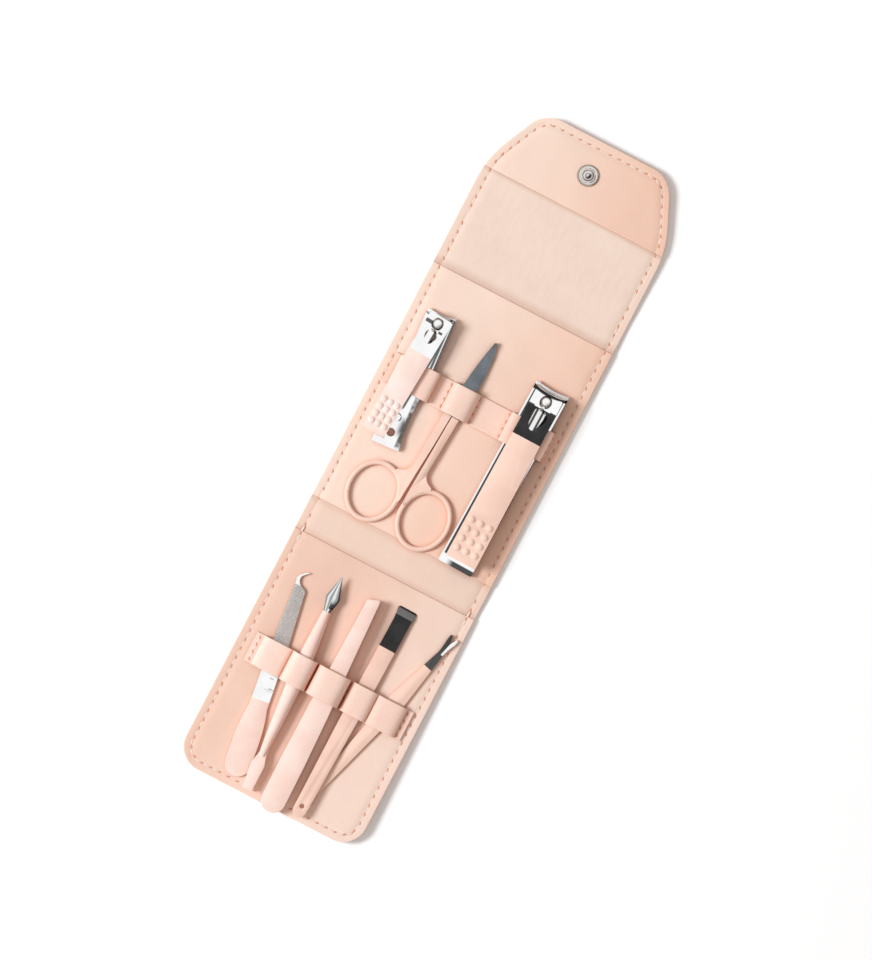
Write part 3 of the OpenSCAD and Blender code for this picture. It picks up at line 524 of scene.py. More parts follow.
def seam_dip(x, y):
    """Depth of the sewn channel inside the edge, and of the pressed margin."""
    inside = from_edge(x, y)
    margin = MARGIN_DIP * (1 - ease((inside - MARGIN_IN) / MARGIN_RISE))
    return margin + GROOVE_DIP * math.exp(-((inside - STITCH_IN) / GROOVE_WIDE) ** 2)


def lining_top(x, y):
    """Upper face of the lining."""
    return COVER + board_height(y) + LINING - seam_dip(x, y)


def lining_under(x, y):
    """Lower face of the lining: on the board where there is one, else on the cover."""
    gap = BOARD_BY_FOLD
    on_fold = LOWER_Y - gap < y < FOLD_Y + gap or UPPER_Y - gap < y < FLAP_Y + gap
    return COVER + (0 if on_fold or from_edge(x, y) < BOARD_IN else BOARD - 0.02)


def spaced(low, high, step, extra, fine):
    """Values from low to high, closer together round the extra ones and, by fine, at both ends."""
    v = list(np.linspace(low, high, max(2, int(round((high - low) / step)) + 1)))
    if fine:
        for d in (0.06, 0.18, 0.45, 0.9):
            v += [low + d * fine, high - d * fine]
    for e in extra:
        v += [e + d for d in (-1.8, -1.2, -0.8, -0.4, 0, 0.4, 0.8, 1.2, 1.8) if low < e + d < high]
    out = []
    for x in sorted(v):
        if not out or x - out[-1] > 0.03:
            out.append(float(x))
    return out


# Places of a sheet's points across the case, closer together by the edge, its groove and its margin
columns = [round(c * HALF_W, 3) for c in spaced(-1, 1, 2.2 / HALF_W, (), 0)]
for d in (0.06, 0.2, 0.5, 1, 1.6, 2.1, 2.5, 2.8, 3.1, 3.4, 3.7, 4.1, 4.6, 5.2):
    columns += [d - HALF_W, HALF_W - d]
columns = sorted(set(columns))


def edge_drop(d, r):
    """How much a rounded edge lies under the flat, at distance d from it."""
    return r - math.sqrt(max(r * r - (r - min(d, r)) ** 2, 0))


def shell(rows, n):
    """Faces and slots of a sheet whose upper and then lower points lie in rows of n; slot 1 is its edge."""
    faces, slots, under = [], [], rows * n
    for j in range(rows - 1):
        for i in range(n - 1):
            a = j * n + i
            faces.append((a, a + 1, a + n + 1, a + n))
            faces.append((under + a, under + a + n, under + a + n + 1, under + a + 1))
            slots += [0, 0]
        for i, flip in ((0, True), (n - 1, False)):
            a = j * n + i
            f = (a, a + n, under + a + n, under + a)
            faces.append(f if flip else f[::-1])
            slots.append(1)
    for j, flip in ((0, False), (rows - 1, True)):
        for i in range(n - 1):
            a = j * n + i
            f = (a, under + a, under + a + 1, a + 1)
            faces.append(f[::-1] if flip else f)
            slots.append(1)
    return faces, slots


def sheet_piece(name, low, high, top, thick, material, extra=(), edge=0.2, close=(True, True), both=False):
    """A sheet of the case between two y values.

    top(x, y) is its upper face, and thick its thickness or its lower face. Its edge is rounded above, with both
    below too, and its ends low and high only where close says so.
    """
    ys = spaced(low, high, 2.4, extra, 1.0)
    if low <= LOWER_END + 0.01:
        ys += [LOWER_END + CORNER * (1 - math.cos(math.radians(a))) for a in range(6, 91, 6)]
    if high >= FLAP_END - 0.01:
        ys += [FLAP_END - 7 * (1 - math.cos(math.radians(a))) for a in range(8, 91, 8)]
    ys = sorted(set(ys))
    points = []
    for is_upper in (True, False):
        for y in ys:
            wide = half_width(y)
            for c in columns:
                x = c / HALF_W * wide
                d = HALF_W - abs(c)
                if close[0]:
                    d = min(d, y - low)
                if close[1]:
                    d = min(d, high - y)
                drop = edge_drop(d, edge)
                if is_upper:
                    z = top(x, y) - drop
                else:
                    z = (thick(x, y) if callable(thick) else top(x, y) - thick) + (drop if both else 0)
                points.append(lay(x, y, z))
    faces, slots = shell(len(ys), len(columns))
    return new_piece(name, points, faces, [material, cut_edge], slots, 50)


def cross(piece):
    """Bakes the piece's place into its points."""
    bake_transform(piece)


# ---- Case: outer leather, lining and facings

# The cover and the lining are cut between the fold lines, so that each of their pieces holds one of them
mid_low, mid_up, mid_top = (LOWER_Y + FOLD_Y) / 2, 22.0, (UPPER_Y + FLAP_Y) / 2
case_parts = [
    ("lower", LOWER_END, mid_low, LOWER_Y, "lower_panel", "lower_fold", ["lower"]),
    ("middle", mid_low, mid_up, FOLD_Y, "lower_fold", "upper_panel", ["fold"]),
    ("upper", mid_up, mid_top, UPPER_Y, "upper_panel", "flap_fold", ["upper", "flap_fold"]),
    ("flap", mid_top, FLAP_END, FLAP_Y, "flap_fold", "flap", ["flap"]),
]
for word, low, high, fold, body_a, body_b, stood_for in case_parts:
    ends = (low <= LOWER_END, high >= FLAP_END)
    cover = sheet_piece("leather_" + word, low, high, lambda x, y: COVER, COVER, leather,
                        extra=(fold,), close=ends, both=True)
    cloth_piece = sheet_piece("cloth_" + word, low, high, lining_top, lining_under, lining, extra=(fold,), close=ends)
    for piece, kind in ((cover, "cover_"), (cloth_piece, "lining_")):
        cross(piece)
        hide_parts(*[kind + n for n in stood_for])


def facing_top(x, y):
    """Upper face of a facing."""
    return lining_top(x, y) + FACING


facing_low = sheet_piece("facing_lower_sheet", LOWER_END, LOWER_FACING_TOP, facing_top, FACING, leather_lower,
                         extra=(LOWER_Y,), edge=0.3)
cross(facing_low)
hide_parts("facing_lower", "facing_fold")
facing_mid = sheet_piece("facing_upper_sheet", UPPER_FACING_LOW, UPPER_FACING_TOP, facing_top, FACING, leather_upper,
                         edge=0.3)
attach(facing_mid, "upper_panel")
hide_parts("facing_upper")
facing_end = sheet_piece("facing_flap_sheet", FLAP_FACING_LOW, FLAP_END, facing_top, FACING, leather_flap, edge=0.3)
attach(facing_end, "flap")
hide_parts("facing_flap")


# ---- Loop strips


def loop_path(x0, x1, loops):
    """Middle line of a strip across the case: flat where it is sewn, a barrel over each tool between."""
    h = STRIP / 2
    line = [(x0, h)]
    for left, right, top, power in loops:
        middle, half = (left + right) / 2, (right - left) / 2 + 0.35
        arch = []
        for k in range(41):
            a = math.pi * (1 - k / 40)
            c, d = math.cos(a), math.sin(a)
            out = half * math.copysign(abs(c) ** (2 / power), c)
            arch.append((middle + out, (top + h) * abs(d) ** (2 / power)))
        arch = [q for q in arch if q[1] > h + 0.12]
        line += [(middle - half - 0.5, h), (middle - half - 0.12, h + 0.06)] + arch
        line += [(middle + half + 0.12, h + 0.06), (middle + half + 0.5, h)]
    line = [q for q in line if x0 <= q[0] <= x1] + [(x1, h)]
    out = [line[0]]
    for q in line[1:]:
        gap = math.dist(q, out[-1])
        if gap < 0.05:
            continue
        between = int(gap // 1.0)
        start = np.array(out[-1])
        for k in range(1, between + 1):
            out.append(tuple(start + (np.array(q) - start) * k / (between + 1)))
        out.append(q)
    return out


def strip_piece(name, ends, loops, low, high):
    """A strip of loops, with rounded edges that sag a little where it is raised."""
    line = np.array(loop_path(*ends, loops))
    d = np.gradient(line, axis=0)
    d /= np.linalg.norm(d, axis=1)[:, None]
    normal = np.stack([-d[:, 1], d[:, 0]], 1)
    ys = spaced(low, high, 2.0, (), 0.8)
    points = []
    for side in (1, -1):
        for y in ys:
            e = min(y - low, high - y)
            half = STRIP / 2 - edge_drop(e, 0.22)
            sag = 0.10 * math.exp(-e / 1.2)
            for (x, z), (nx, nz) in zip(line, normal):
                lifted = ease((z - STRIP) / 1.5)
                px, pz = x + nx * half * side, z + nz * half * side
                points.append(lay(px, y, PANEL + pz - sag * lifted * 0.6))
    faces, slots = shell(len(ys), len(line))
    return new_piece(name, points, faces, [loop_leather, cut_edge], slots, 60)


# Each loop: left foot, right foot, height inside, and how boxy its barrel is
upper_loops = [(-32.8, -17.0, 4.3, 7.0), (-9.8, 0.8, 4.4, 2.9), (15.7, 32.8, 5.6, 9.0)]
lower_loops = [(-29.6, -17.7, 3.0, 3.2), (-17.1, -7.2, 7.0, 3.0), (-5.6, 7.2, 7.2, 3.4), (8.9, 19.2, 4.0, 3.3),
               (20.0, 31.8, 3.0, 3.4)]
upper_strip = strip_piece("loop_strip_upper", UPPER_STRIP, upper_loops, *UPPER_STRIP_Y)
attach(upper_strip, "upper_panel")
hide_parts("upper_loops")
lower_strip = strip_piece("loop_strip_lower", LOWER_STRIP, lower_loops, *LOWER_STRIP_Y)
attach(lower_strip, "lower_panel")
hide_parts("lower_loops")
for piece, ends, loops in ((upper_strip, UPPER_STRIP, upper_loops), (lower_strip, LOWER_STRIP, lower_loops)):
    line = loop_path(*ends, loops)


# ---- Stitches: one hole and one length of thread, modelled once and copied along each seam


def stitch_patterns():
    """One hole and one length of thread."""
    out = []
    for word, material, size in (("hole", hole, (0.42, 0.9, 0.2)), ("thread", thread, (0.48, 1.4, 0.24))):
        bpy.ops.object.select_all(action="DESELECT")
        bpy.ops.mesh.primitive_uv_sphere_add(segments=10, ring_count=6, radius=0.001)
        piece = bpy.context.object
        piece.name = "pattern_" + word
        bpy.ops.object.mode_set(mode="EDIT")
        bpy.ops.transform.resize(value=size)
        bpy.ops.object.mode_set(mode="OBJECT")
        piece.data.materials.append(material)
        out.append(piece)
    return out


patterns = stitch_patterns()


def case_height(x, y):
    """Upper face of the case at a stitch."""
    over_facing = y < LOWER_FACING_TOP or UPPER_FACING_LOW < y < UPPER_FACING_TOP or y > FLAP_FACING_LOW
    return lining_top(x, y) + (FACING if over_facing else 0)


def seam_points():
    """Points every stitch along the seam inside the case's edge, with the seam's direction."""
    inset = STITCH_IN
    line = [(0.0, LOWER_END + inset)]
    for a in range(270, 361, 6):
        c, s = math.cos(math.radians(a)), math.sin(math.radians(a))
        line.append((HALF_W - CORNER + (CORNER - inset) * c, LOWER_END + CORNER + (CORNER - inset) * s))
    line += rounded_line([(HALF_W - inset, 60), (HALF_W - inset, FLAP_END - FLAP_SLOPE + 0.6),
                          (FLAP_TIP - inset * 0.62, FLAP_END - inset), (0, FLAP_END - inset)], [0, 22, 9, 0], 20)
    line = np.array(line)
    run = np.concatenate([[0], np.cumsum(np.linalg.norm(np.diff(line, axis=0), axis=1))])
    out = []
    for d in np.arange(STITCH_PITCH / 2, run[-1], STITCH_PITCH):
        x, y = np.interp(d, run, line[:, 0]), np.interp(d, run, line[:, 1])
        x2, y2 = np.interp(d + 0.5, run, line[:, 0]), np.interp(d + 0.5, run, line[:, 1])
        out.append((x, y, math.atan2(y2 - y, x2 - x) - math.pi / 2))
    return out + [(-x, y, -a) for x, y, a in out]


def body_at(y):
    """The case's body at a y."""
    for limit, name in ((LOWER_Y, "lower_panel"), (FOLD_Y, "lower_fold"),
                        (UPPER_Y, "upper_panel"), (FLAP_Y, "flap_fold")):
        if y < limit:
            return name
    return "flap"


def sew(name, stitches, body, pitch=STITCH_PITCH, through=False):
    """Joins copies of the two patterns at each stitch into one piece for one body; through sews both faces.

    What would reach over a fold line is left out, and so is the thread after the last stitch of a short row.
    """
    points, faces, slots = [], [], []
    if through:
        stitches = stitches + [(x, y, 0.12, turn) for x, y, z, turn in stitches]
    last = max(y for x, y, z, turn in stitches)
    looks = ((0.3, 0.0, 1.0, 0.02), (-0.12, pitch / 2, 2.0, 0.1))
    for k, (pattern, (tilt, shift, reach, sink)) in enumerate(zip(patterns, looks)):
        co = [v.co * 1000 for v in pattern.data.vertices]
        for x, y, z, turn in stitches:
            if k == 1 and pitch < STITCH_PITCH and y > last - 0.1:
                continue
            c, s = math.cos(turn + tilt), math.sin(turn + tilt)
            ox, oy = x - math.sin(turn) * shift, y + math.cos(turn) * shift
            if body_at(oy - reach) != body_at(oy + reach):
                continue
            start = len(points)
            points += [lay(ox + v.x * c - v.y * s, oy + v.x * s + v.y * c, z - sink + v.z) for v in co]
            for f in pattern.data.polygons:
                faces.append(tuple(start + i for i in f.vertices))
                slots.append(k)
    piece = new_piece(name, points, faces, [hole, thread], slots, 179)
    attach(piece, body)
    return piece


by_body = {}
for x, y, turn in seam_points():
    by_body.setdefault(body_at(y), []).append((x, y, case_height(x, y), turn))
for body, stitches in sorted(by_body.items()):
    sew("stitches_" + body, stitches, body, through=True)
for word, low, xs in (("upper", UPPER_STRIP_Y[0], (-10.9, 1.7, 14.7, 33.6)),
                      ("lower", LOWER_STRIP_Y[0], (-31.6, -17.4, -6.4, 8.05, 19.55, 33.2))):
    rows = [(x, low + 1.5 + k * LOOP_PITCH, PANEL + STRIP - 0.03, 0.0) for x in xs for k in range(4)]
    sew("stitches_" + word + "_loops", rows, word + "_panel", LOOP_PITCH)
for pattern in patterns:
    bpy.data.objects.remove(pattern)


# ---- Tools: the CAD pieces with softened edges


def dress(node, material):
    """Gives a CAD piece its material."""
    nodes[node].data.materials.clear()
    nodes[node].data.materials.append(material)


def softened(node, width, material, angle=35):
    """A copy of a CAD piece with its sharp edges rounded, in place of that piece."""
    piece = bpy.data.objects.new(node + "_finish", nodes[node].data.copy())
    bpy.context.scene.collection.objects.link(piece)
    piece.data.name = piece.name
    piece.data.materials.clear()
    piece.data.materials.append(material)
    select_only(piece)
    bpy.ops.object.mode_set(mode="EDIT")
    bpy.ops.mesh.select_mode(type="EDGE")
    bpy.ops.mesh.select_all(action="SELECT")
    bpy.ops.mesh.remove_doubles(threshold=WELD)
    bpy.ops.mesh.dissolve_limited(angle_limit=math.radians(0.8))
    bpy.ops.mesh.select_all(action="DESELECT")
    bpy.ops.mesh.edges_select_sharp(sharpness=math.radians(angle))
    bpy.ops.mesh.bevel(offset=width / 1000, offset_type="OFFSET", segments=2, profile=0.5, clamp_overlap=True)
    bpy.ops.mesh.select_all(action="SELECT")
    bpy.ops.mesh.remove_doubles(threshold=WELD)
    bpy.ops.object.mode_set(mode="OBJECT")
    bpy.ops.object.shade_smooth_by_angle(angle=math.radians(32))
    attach(piece, nodes[node]["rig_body"])
    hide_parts(node)
    return piece


def clipper_axes(s, mm, c):
    """Distances along and across a clipper's arms from their rear end."""
    return s.along(mm, c["rear"], turned(c["turn"])), s.along(mm, c["rear"], sideways(c["turn"]))


def jaw_centre(c, sag=1.4, cut=1.2):
    """Centre and radius of the arc that hollows the upper jaw."""
    r = (c["half"] ** 2 + sag ** 2) / (2 * sag)
    d = Vector(turned(c["turn"]))
    return Vector(c["rear"]) + d * (c["long"] - cut - sag + r), r


def large_painted_reflections(s, mm, colour):
    """Painted dark reflections and shade on the large clipper's arms: under the lip, beside the lever and on the rear
    end.
    """
    d, u = clipper_axes(s, mm, LARGE)
    centre, r = jaw_centre(LARGE)
    from_arc = s.ring(mm, centre)
    slant = s.math("MULTIPLY_ADD", u, -0.05, r + 1.75)
    under_lip = s.all_of(s.step(d, 70, 72), s.step(from_arc, r + 0.25, r + 0.5),
                         s.below(s.math("SUBTRACT", from_arc, slant), -0.15, 0.35))
    left = s.all_of(s.band(u, -6.45, -5.0, 0.12), s.band(d, 3.6, 76.2, 0.3))
    right = s.all_of(s.any_of(s.band(u, 5.0, 6.2, 0.12), s.band(u, 6.95, 7.4, 0.12)), s.band(d, 3.6, 77, 0.3))
    rear = s.all_of(s.step(u, -4.6, -1.2), s.below(d, 1.9, 2.3))
    return s.mix(s.math("MULTIPLY", s.any_of(under_lip, left, right, rear), 0.95), colour, SHADE)


def small_painted_reflections(s, mm, colour):
    """Painted dark reflections and shade on the small clipper's arms: under the lip, along the right side, beside the
    lever, and an uneven patch and edge band near the rear.
    """
    d, u = clipper_axes(s, mm, SMALL)
    v = s.along(mm, SMALL["post"], sideways(SMALL["lever"]))
    centre, r = jaw_centre(SMALL)
    from_arc = s.ring(mm, centre)
    under_lip = s.all_of(s.step(d, 46, 48), s.band(from_arc, r + 0.45, r + 1.0, 0.15))
    right = s.all_of(s.any_of(s.band(u, 3.9, 4.9, 0.3), s.band(u, 5.3, 6.4, 0.15)), s.band(d, 24, 55.4, 0.4))
    lever_side = s.all_of(s.band(v, 4.7, 5.6, 0.25), s.band(d, 16, 47, 1.0))
    # An uneven patch of painted dark reflection.
    reflection_patch = s.all_of(s.step(u, 1.0, 3.6), s.band(d, 6.0, 12.5, 2.0), s.step(s.noise(mm, 0.16, 1.0), 0.3, 0.5))
    uneven = s.blend(s.step(s.noise(mm, 0.3, 2.0), 0.35, 0.6), 0.5, 1.0)
    edge = s.all_of(s.step(u, 3.1, 3.9), s.band(d, 1.2, 25, 1.0), uneven)
    return s.mix(s.math("MULTIPLY", s.any_of(under_lip, right, lever_side, reflection_patch, edge), 0.9), colour, SHADE)


def knob_painted_reflection(c):
    """Painted brown reflection of the leather round the post's knob, deeper towards its lower right side as painted
    shade.
    """
    def painted_reflections(s, mm, colour):
        out = s.ring(mm, c["post"])
        right = s.along(mm, c["post"], (0.8, -0.6, 0))
        edge = s.any_of(s.step(out, KNOB_R - 0.75, KNOB_R - 0.2), s.math("MULTIPLY", s.step(right, 0.1, 1.5), 0.85))
        return s.mix(s.math("MULTIPLY", edge, 0.9), colour, PAINTED_BROWN)
    return painted_reflections


def ground_lip(s, c):
    """Matt ground cutting edge in front of the upper jaw's arc."""
    mm = s.mm()
    centre, r = jaw_centre(c)
    d, _ = clipper_axes(s, mm, c)
    lip = s.all_of(s.step(d, c["long"] - 8, c["long"] - 7.5), s.below(s.ring(mm, centre), r + 0.2, r + 0.4))
    s.set(Metallic=s.math("MULTIPLY_ADD", lip, -0.85, 1.0))


large_steel = steel("large clipper steel", painted_reflections=large_painted_reflections, lip=LARGE)
small_steel = steel("small clipper steel", painted_reflections=small_painted_reflections, lip=SMALL)
for word, finish, c in (("large", large_steel, LARGE), ("small", small_steel, SMALL)):
    for part in ("_lower_arm", "_upper_arm"):
        softened(word + part, 0.16, finish)
    dress(word + "_rivet", chrome)
    dress(word + "_post", steel(word + " post steel", painted_reflections=knob_painted_reflection(c)))


def large_ridge(s, mm, d, colour, roughness, normal):
    """Painted stripes of highlight on the pressed ridge of the large lever, over its slope, with a painted dark
    crescent at its front and painted shade in its notches.
    """
    high = s.height(mm)
    v = s.along(mm, LARGE["post"], sideways(LARGE["lever"]))
    on_ridge = s.math("MULTIPLY", s.step(high, 10.36, 10.5), s.step(d, -16.6, -16.2))
    # Painted highlights in stripes along the ridge, between painted dark reflection.
    light = s.any_of(s.band(v, -1.1, 0.5, 0.25), s.band(v, 1.4, 2.2, 0.25), s.band(v, -2.35, -2.0, 0.2))
    colour = s.mix(on_ridge, colour, s.mix(light, (0.06, 0.05, 0.045, 1), (0.86, 0.86, 0.86, 1)))
    roughness = s.blend(on_ridge, roughness, 0.16)
    centre, r = jaw_centre(LARGE)
    from_arc = s.ring(mm, centre)
    shade = s.math("MULTIPLY_ADD", v, -0.04, r + 1.5)
    crescent = s.all_of(s.step(d, 0, 0.5), s.below(s.math("SUBTRACT", from_arc, shade), -0.2, 0.3))
    colour = s.mix(crescent, colour, SHADE)
    notch = s.all_of(s.band(d, -3.7, -2.7, 0.15), s.step(s.math("ABSOLUTE", v), 3.2, 3.6), s.below(high, 10.0, 10.3))
    return s.mix(notch, colour, SHADE), roughness, normal


def small_ridge(s, mm, d, colour, roughness, normal):
    """Painted shade along the edges of the pressed ridge and in the notches of the small lever."""
    v = s.along(mm, SMALL["post"], sideways(SMALL["lever"]))
    top = 9.02
    on_ridge = s.math("MULTIPLY", s.step(s.height(mm), top, top + 0.12), s.band(d, -9.2, -1.8, 0.1))
    shade = s.any_of(s.band(v, 0.5, 1.6, 0.25), s.below(v, -1.9, -1.6))
    colour = s.mix(s.math("MULTIPLY", on_ridge, shade), colour, (0.1, 0.08, 0.07, 1))
    left = s.all_of(s.band(d, -1.3, 0.2, 0.25), s.below(v, -1.9, -1.6))
    right = s.all_of(s.band(d, -3.2, -2.2, 0.15), s.band(v, 1.9, 3.6, 0.15))
    return s.mix(s.math("MULTIPLY", s.any_of(left, right), 0.9), colour, SHADE), roughness, normal


# The lever's steel slope behind the post is painted dark as a dark reflection.
large_lever = part_coated("large lever finish", LARGE["post"], LARGE["lever"],
                          [(-16.3, -3.1, DARK, DARK_DEEP), (-3.1, 6, STEEL, STEEL_DEEP)],
                          extra=large_ridge, tones=WARM_COAT)
small_lever = part_coated("small lever finish", SMALL["post"], SMALL["lever"], [(-13.2, 6, STEEL, STEEL_DEEP)],
                          extra=small_ridge)
softened("large_lever", 0.18, large_lever)
softened("small_lever", 0.18, small_lever)

scissor_finish = part_coated("scissors finish", *SCISSORS,
                             [(-6.2, 40, (0.2, 0.225, 0.25, 1), (0.14, 0.155, 0.17, 1))], 0.3, tones=WARM_COAT)
for part in ("scissor_right_half", "scissor_left_half"):
    softened(part, 0.2, scissor_finish, 50)
dress("scissor_rivet", chrome)

tweezer_finish = coated("tweezers finish", TOOL_COAT)
for part in ("tweezer_lower_arm", "tweezer_upper_arm"):
    softened(part, 0.25, tweezer_finish)


def file_cuts(s, mm, d, colour, roughness, normal):
    """Crossed rows of fine teeth on the file's blade, and scratches on its bare tip."""
    share = s.math("MULTIPLY", s.step(d, -34.2, -33.8), s.below(d, -6.4, -5.4))
    rows = []
    for lean in (35, -35):
        across = s.along(mm, (0, 0, 0), turned(FILE[1] + lean))
        rows.append(s.math("SINE", s.math("MULTIPLY", across, 2 * math.pi / 0.55)))
    rows = s.math("MINIMUM", *rows)
    speckle = s.math("MULTIPLY_ADD", s.noise(mm, 1.1, 4.0, 0.7), 2.2, rows)
    teeth = s.mix(s.step(speckle, -0.1, 1.6), (0.47, 0.44, 0.42, 1), (0.9, 0.86, 0.83, 1))
    colour = s.mix(share, colour, teeth)
    scratch = s.noise(mm, 0.9, 3.0, 0.6, stretch=(0.25, 1.0, 1.0))
    scratch = s.all_of(s.below(d, -34.6, -34.2), s.step(d, -53.6, -53.2), s.step(scratch, 0.6, 0.68))
    colour = s.mix(scratch, colour, (0.5, 0.5, 0.49, 1))
    roughness = s.blend(share, roughness, 0.42)
    return colour, roughness, s.bump(s.math("MULTIPLY", rows, share), 0.12, 0.6, normal)


file_finish = part_coated("file finish", *FILE, [(-53.2, 2, (0.98, 0.98, 0.98, 1), (0.9, 0.9, 0.9, 1))],
                          0.2, file_cuts, FILE_COAT)
softened("file", 0.2, file_finish)


def spear_painted_light(s, mm, d, colour, roughness, normal):
    """Painted light and shade on the sides of the pusher's spear, from edge to edge."""
    v = s.along(mm, PUSHER[0], sideways(PUSHER[1]))
    front = s.math("MULTIPLY", d, -0.302)
    behind = s.math("MULTIPLY_ADD", d, 0.27, 5.5)
    half = s.math("MAXIMUM", s.math("MINIMUM", front, behind), 0.3)
    q = s.math("DIVIDE", v, half)
    tone = s.mix(s.step(q, -0.85, -0.6), (0.3, 0.3, 0.29, 1), (0.82, 0.83, 0.84, 1))
    tone = s.mix(s.band(q, -0.42, -0.05, 0.1), tone, (0.34, 0.35, 0.35, 1))
    tone = s.mix(s.step(q, 0.25, 0.5), tone, (0.36, 0.36, 0.36, 1))
    tone = s.mix(s.step(q, 0.62, 0.8), tone, (0.05, 0.052, 0.05, 1))
    metal = s.step(d, -15.4, -15.1)
    return s.mix(metal, colour, tone), s.blend(metal, roughness, 0.2), normal


pusher_finish = part_coated("pusher finish", *PUSHER, [(-15.3, 2, STEEL, STEEL_DEEP)],
                            extra=spear_painted_light, tones=TOOL_COAT)
softened("pusher", 0.15, pusher_finish, 30)


def knife_bevel(s, mm, d, colour, roughness, normal):
    """Ground bevel along the knife's edge, and fine scale on the dark steel behind it."""
    scale = s.noise(mm, 2.2, 4.0, 0.7)
    colour = s.mix(s.all_of(s.step(d, -17.2, -17), s.step(scale, 0.56, 0.7)), colour, (0.075, 0.07, 0.068, 1))
    bevel = s.band(d, -3.4, -0.7, 0.12)
    return s.mix(bevel, colour, (0.17, 0.165, 0.16, 1)), s.blend(bevel, roughness, 0.3), normal


def fork_painted_highlight(s, mm, d, colour, roughness, normal):
    """Painted highlight on the fork's right prong."""
    v = s.along(mm, FORK[0], sideways(FORK[1]))
    bright = s.all_of(s.step(d, -8.6, -8.2), s.step(v, 0.1, 0.4))
    return s.mix(bright, colour, (0.92, 0.92, 0.92, 1)), roughness, normal


knife_finish = part_coated("knife finish", *KNIFE, [(-17.4, 2, DARK, DARK_DEEP)], 0.3, knife_bevel, SHADED_BAR_COAT)
softened("knife", 0.2, knife_finish)
fork_finish = part_coated("fork finish", *FORK, [(-15.6, 2, (0.1, 0.1, 0.1, 1), (0.06, 0.06, 0.062, 1))],
                          0.25, fork_painted_highlight, WARM_COAT)
softened("fork", 0.2, fork_finish)


# ---- Snap fastener


def snap_painted_shade(s, mm, colour):
    """Painted shade on the socket's rolled edge, in its groove, deeper towards the right, and on the right side of its
    centre's pit.
    """
    centre = (SNAP_X, SNAP_Y, 0)
    out = s.ring(mm, centre)
    right = s.along(mm, centre, (0.9, -0.44, 0))
    edge = s.step(out, 3.3, 3.75)
    groove = s.all_of(s.band(out, 1.5, 2.35, 0.25), s.step(right, -1.0, 1.2, 0.35, 1.0))
    pit = s.all_of(s.below(out, 1.25, 1.5), s.step(right, -0.1, 0.35))
    colour = s.mix(s.math("MULTIPLY", edge, 0.8), colour, (0.3, 0.25, 0.21, 1))
    colour = s.mix(s.math("MULTIPLY", groove, 0.75), colour, (0.28, 0.22, 0.18, 1))
    return s.mix(s.math("MULTIPLY", pit, 0.85), colour, (0.07, 0.06, 0.06, 1))


nickel = steel("nickel of the snap", (0.8, 0.78, 0.75, 1), (0.66, 0.64, 0.61, 1), 0.2)
socket_nickel = steel("nickel of the socket", (0.86, 0.84, 0.81, 1), (0.7, 0.68, 0.65, 1), 0.2, snap_painted_shade)


def snap_socket():
    """The snap's socket, spun from its section: rolled outer edge, groove, raised mouth."""
    section = [(4.3, 0.02), (4.3, 0.3), (4.18, 0.55), (3.95, 0.74), (3.65, 0.8), (3.4, 0.72), (3.2, 0.66), (3.05, 0.74),
               (2.95, 1.0), (2.8, 1.28), (2.6, 1.44), (2.42, 1.49), (2.26, 1.44), (2.18, 1.3), (2.15, 1.0), (2.12, 0.4),
               (1.9, 0.22), (1.2, 0.2)]
    foot = Vector(lay(SNAP_X, SNAP_Y, PANEL))
    tall = Vector(lay(SNAP_X, SNAP_Y, PANEL + 1)) - foot
    bpy.ops.object.select_all(action="DESELECT")
    bpy.ops.mesh.primitive_circle_add(vertices=64, radius=section[0][0] / 1000, location=(0, 0, section[0][1] / 1000))
    piece = bpy.context.object
    piece.name = "snap_socket_rim"
    bpy.ops.object.mode_set(mode="EDIT")
    bpy.ops.mesh.select_all(action="SELECT")
    for (r0, z0), (r1, z1) in zip(section, section[1:]):
        bpy.ops.mesh.extrude_edges_move(TRANSFORM_OT_translate={"value": (0, 0, (z1 - z0) / 1000)})
        bpy.ops.transform.resize(value=(r1 / r0, r1 / r0, 1), center_override=(0, 0, 0))
    bpy.ops.mesh.select_all(action="SELECT")
    bpy.ops.mesh.normals_make_consistent(inside=False)
    bpy.ops.object.mode_set(mode="OBJECT")
    bpy.ops.object.shade_smooth()
    turn = Vector((0, 0, 1)).rotation_difference(tall)
    for v in piece.data.vertices:
        v.co = turn @ v.co + foot / 1000
    piece.data.materials.append(socket_nickel)
    piece.location = (0, 0, 0)
    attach(piece, "flap")
    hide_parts("snap_socket")


snap_socket()
for node, material in (("snap_cap", socket_nickel), ("snap_stud", nickel), ("snap_stud_back", nickel),
                       ("board_upper", grey_board), ("board_lower", grey_board), ("board_flap", grey_board)):
    dress(node, material)


# ---- Floor, light and camera


def make_floor():
    """White ground just under the case, lifted to full white for the camera."""
    bpy.ops.object.select_all(action="DESELECT")
    bpy.ops.mesh.primitive_plane_add(size=6, location=(0, 0, -0.0002))
    floor = bpy.context.object
    floor.name = "floor"
    s = Shader("white ground")
    s.set(Base_Color=(0.98, 0.98, 0.98, 1), Roughness=0.9, Specular_IOR_Level=0.1)
    rays = s.add("ShaderNodeLightPath").outputs
    seen = s.any_of(rays["Is Glossy Ray"], rays["Is Transmission Ray"], rays["Is Camera Ray"])
    s.set(Emission_Strength=s.math("MULTIPLY", seen, 0.1), Emission_Color=(1, 1, 1, 1))
    floor.data.materials.append(s.material)
    floor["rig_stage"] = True


class Studio(Shader):
    """The world's node tree, with the same short ways."""

    def __init__(self, name):
        self.world = bpy.data.worlds.new(name)
        self.world.use_nodes = True
        self.tree = self.world.node_tree
        self.back = self.tree.nodes["Background"]


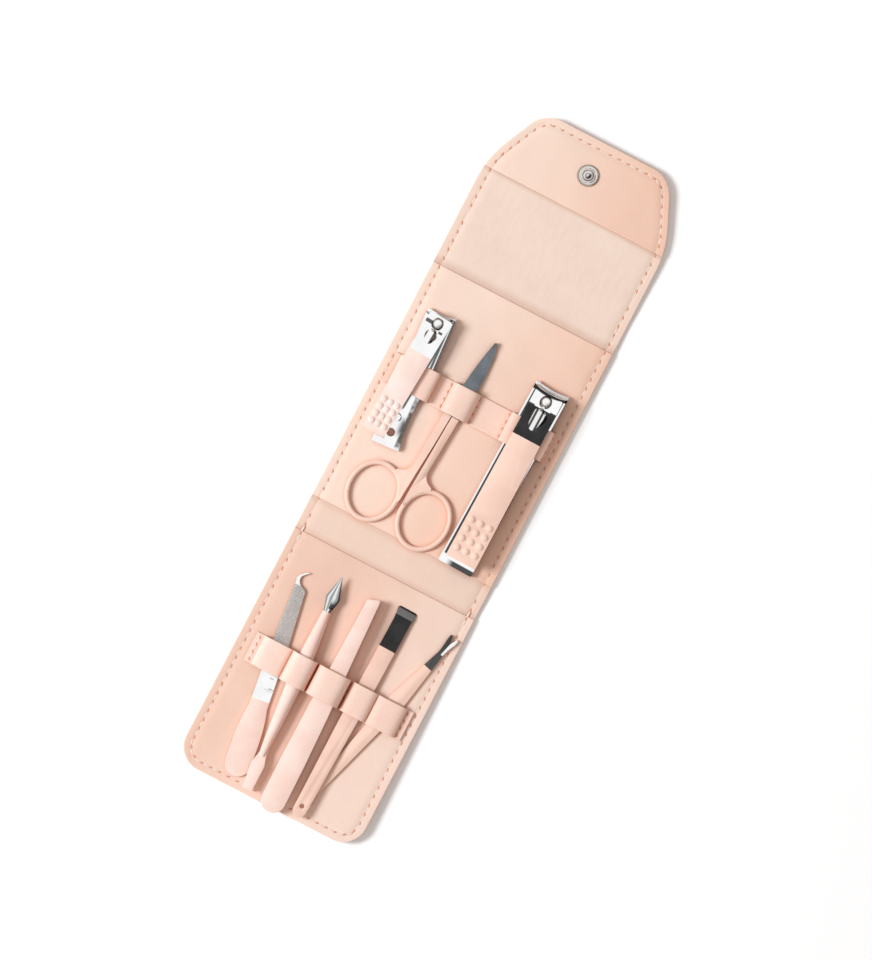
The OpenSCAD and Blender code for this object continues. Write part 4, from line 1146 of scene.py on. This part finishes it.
def make_light():
    """A world that looks white and lights warmly and weakly, and one cool lamp from the lower left."""
    s = Studio("studio")
    bpy.context.scene.world = s.world
    rays = s.add("ShaderNodeLightPath").outputs
    seen = s.any_of(rays["Is Camera Ray"], rays["Is Glossy Ray"])
    s.put(s.back.inputs["Strength"], s.blend(seen, 0.47, 1.0))
    s.put(s.back.inputs["Color"], s.mix(seen, (1.0, 0.9, 0.84, 1), (1, 1, 1, 1)))
    lamp = bpy.data.lights.new("key", "AREA")
    lamp.size = 0.62
    lamp.energy = 33.0
    lamp.color = (0.88, 0.95, 1.0)
    key = bpy.data.objects.new("key", lamp)
    bpy.context.scene.collection.objects.link(key)
    key.visible_glossy = False
    key.location = (-1.28, -0.432, 1.296)
    key.rotation_euler = (-key.location).to_track_quat("-Z", "Y").to_euler()


def make_cards():
    """Dark cards beside the case, seen only in the polished steel."""
    s = Shader("dark card")
    s.set(Base_Color=(0.02, 0.02, 0.022, 1), Roughness=1.0)
    for place, turn, size in (((0.9, -0.1, 0.42), -90, (1.6, 0.8)), ((0.35, 1.0, 0.35), 0, (1.0, 0.55))):
        bpy.ops.object.select_all(action="DESELECT")
        bpy.ops.mesh.primitive_plane_add(size=1, location=place, rotation=(math.radians(90), 0, math.radians(turn)))
        card = bpy.context.object
        card.name = "card"
        card.scale = (size[0], size[1], 1)
        card.data.materials.append(s.material)
        card.visible_camera = card.visible_diffuse = card.visible_shadow = card.visible_transmission = False
        card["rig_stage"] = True


def make_camera():
    """A camera straight above the case, turned as the photograph is."""
    data = bpy.data.cameras.new("camera")
    cam = bpy.data.objects.new("camera", data)
    bpy.context.scene.collection.objects.link(cam)
    far, case_top, view_long, sensor = 1.6, 0.003, 0.3744, 36
    data.lens = sensor * (far - case_top) / view_long
    data.clip_end = 20
    cam.location = (0.00088, -0.00042, far)
    cam.rotation_euler = (0, 0, math.radians(27.5))
    bpy.context.scene.camera = cam


make_floor()
make_light()
make_cards()
make_camera()
bpy.context.scene.view_settings.view_transform = "Standard"

low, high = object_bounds()
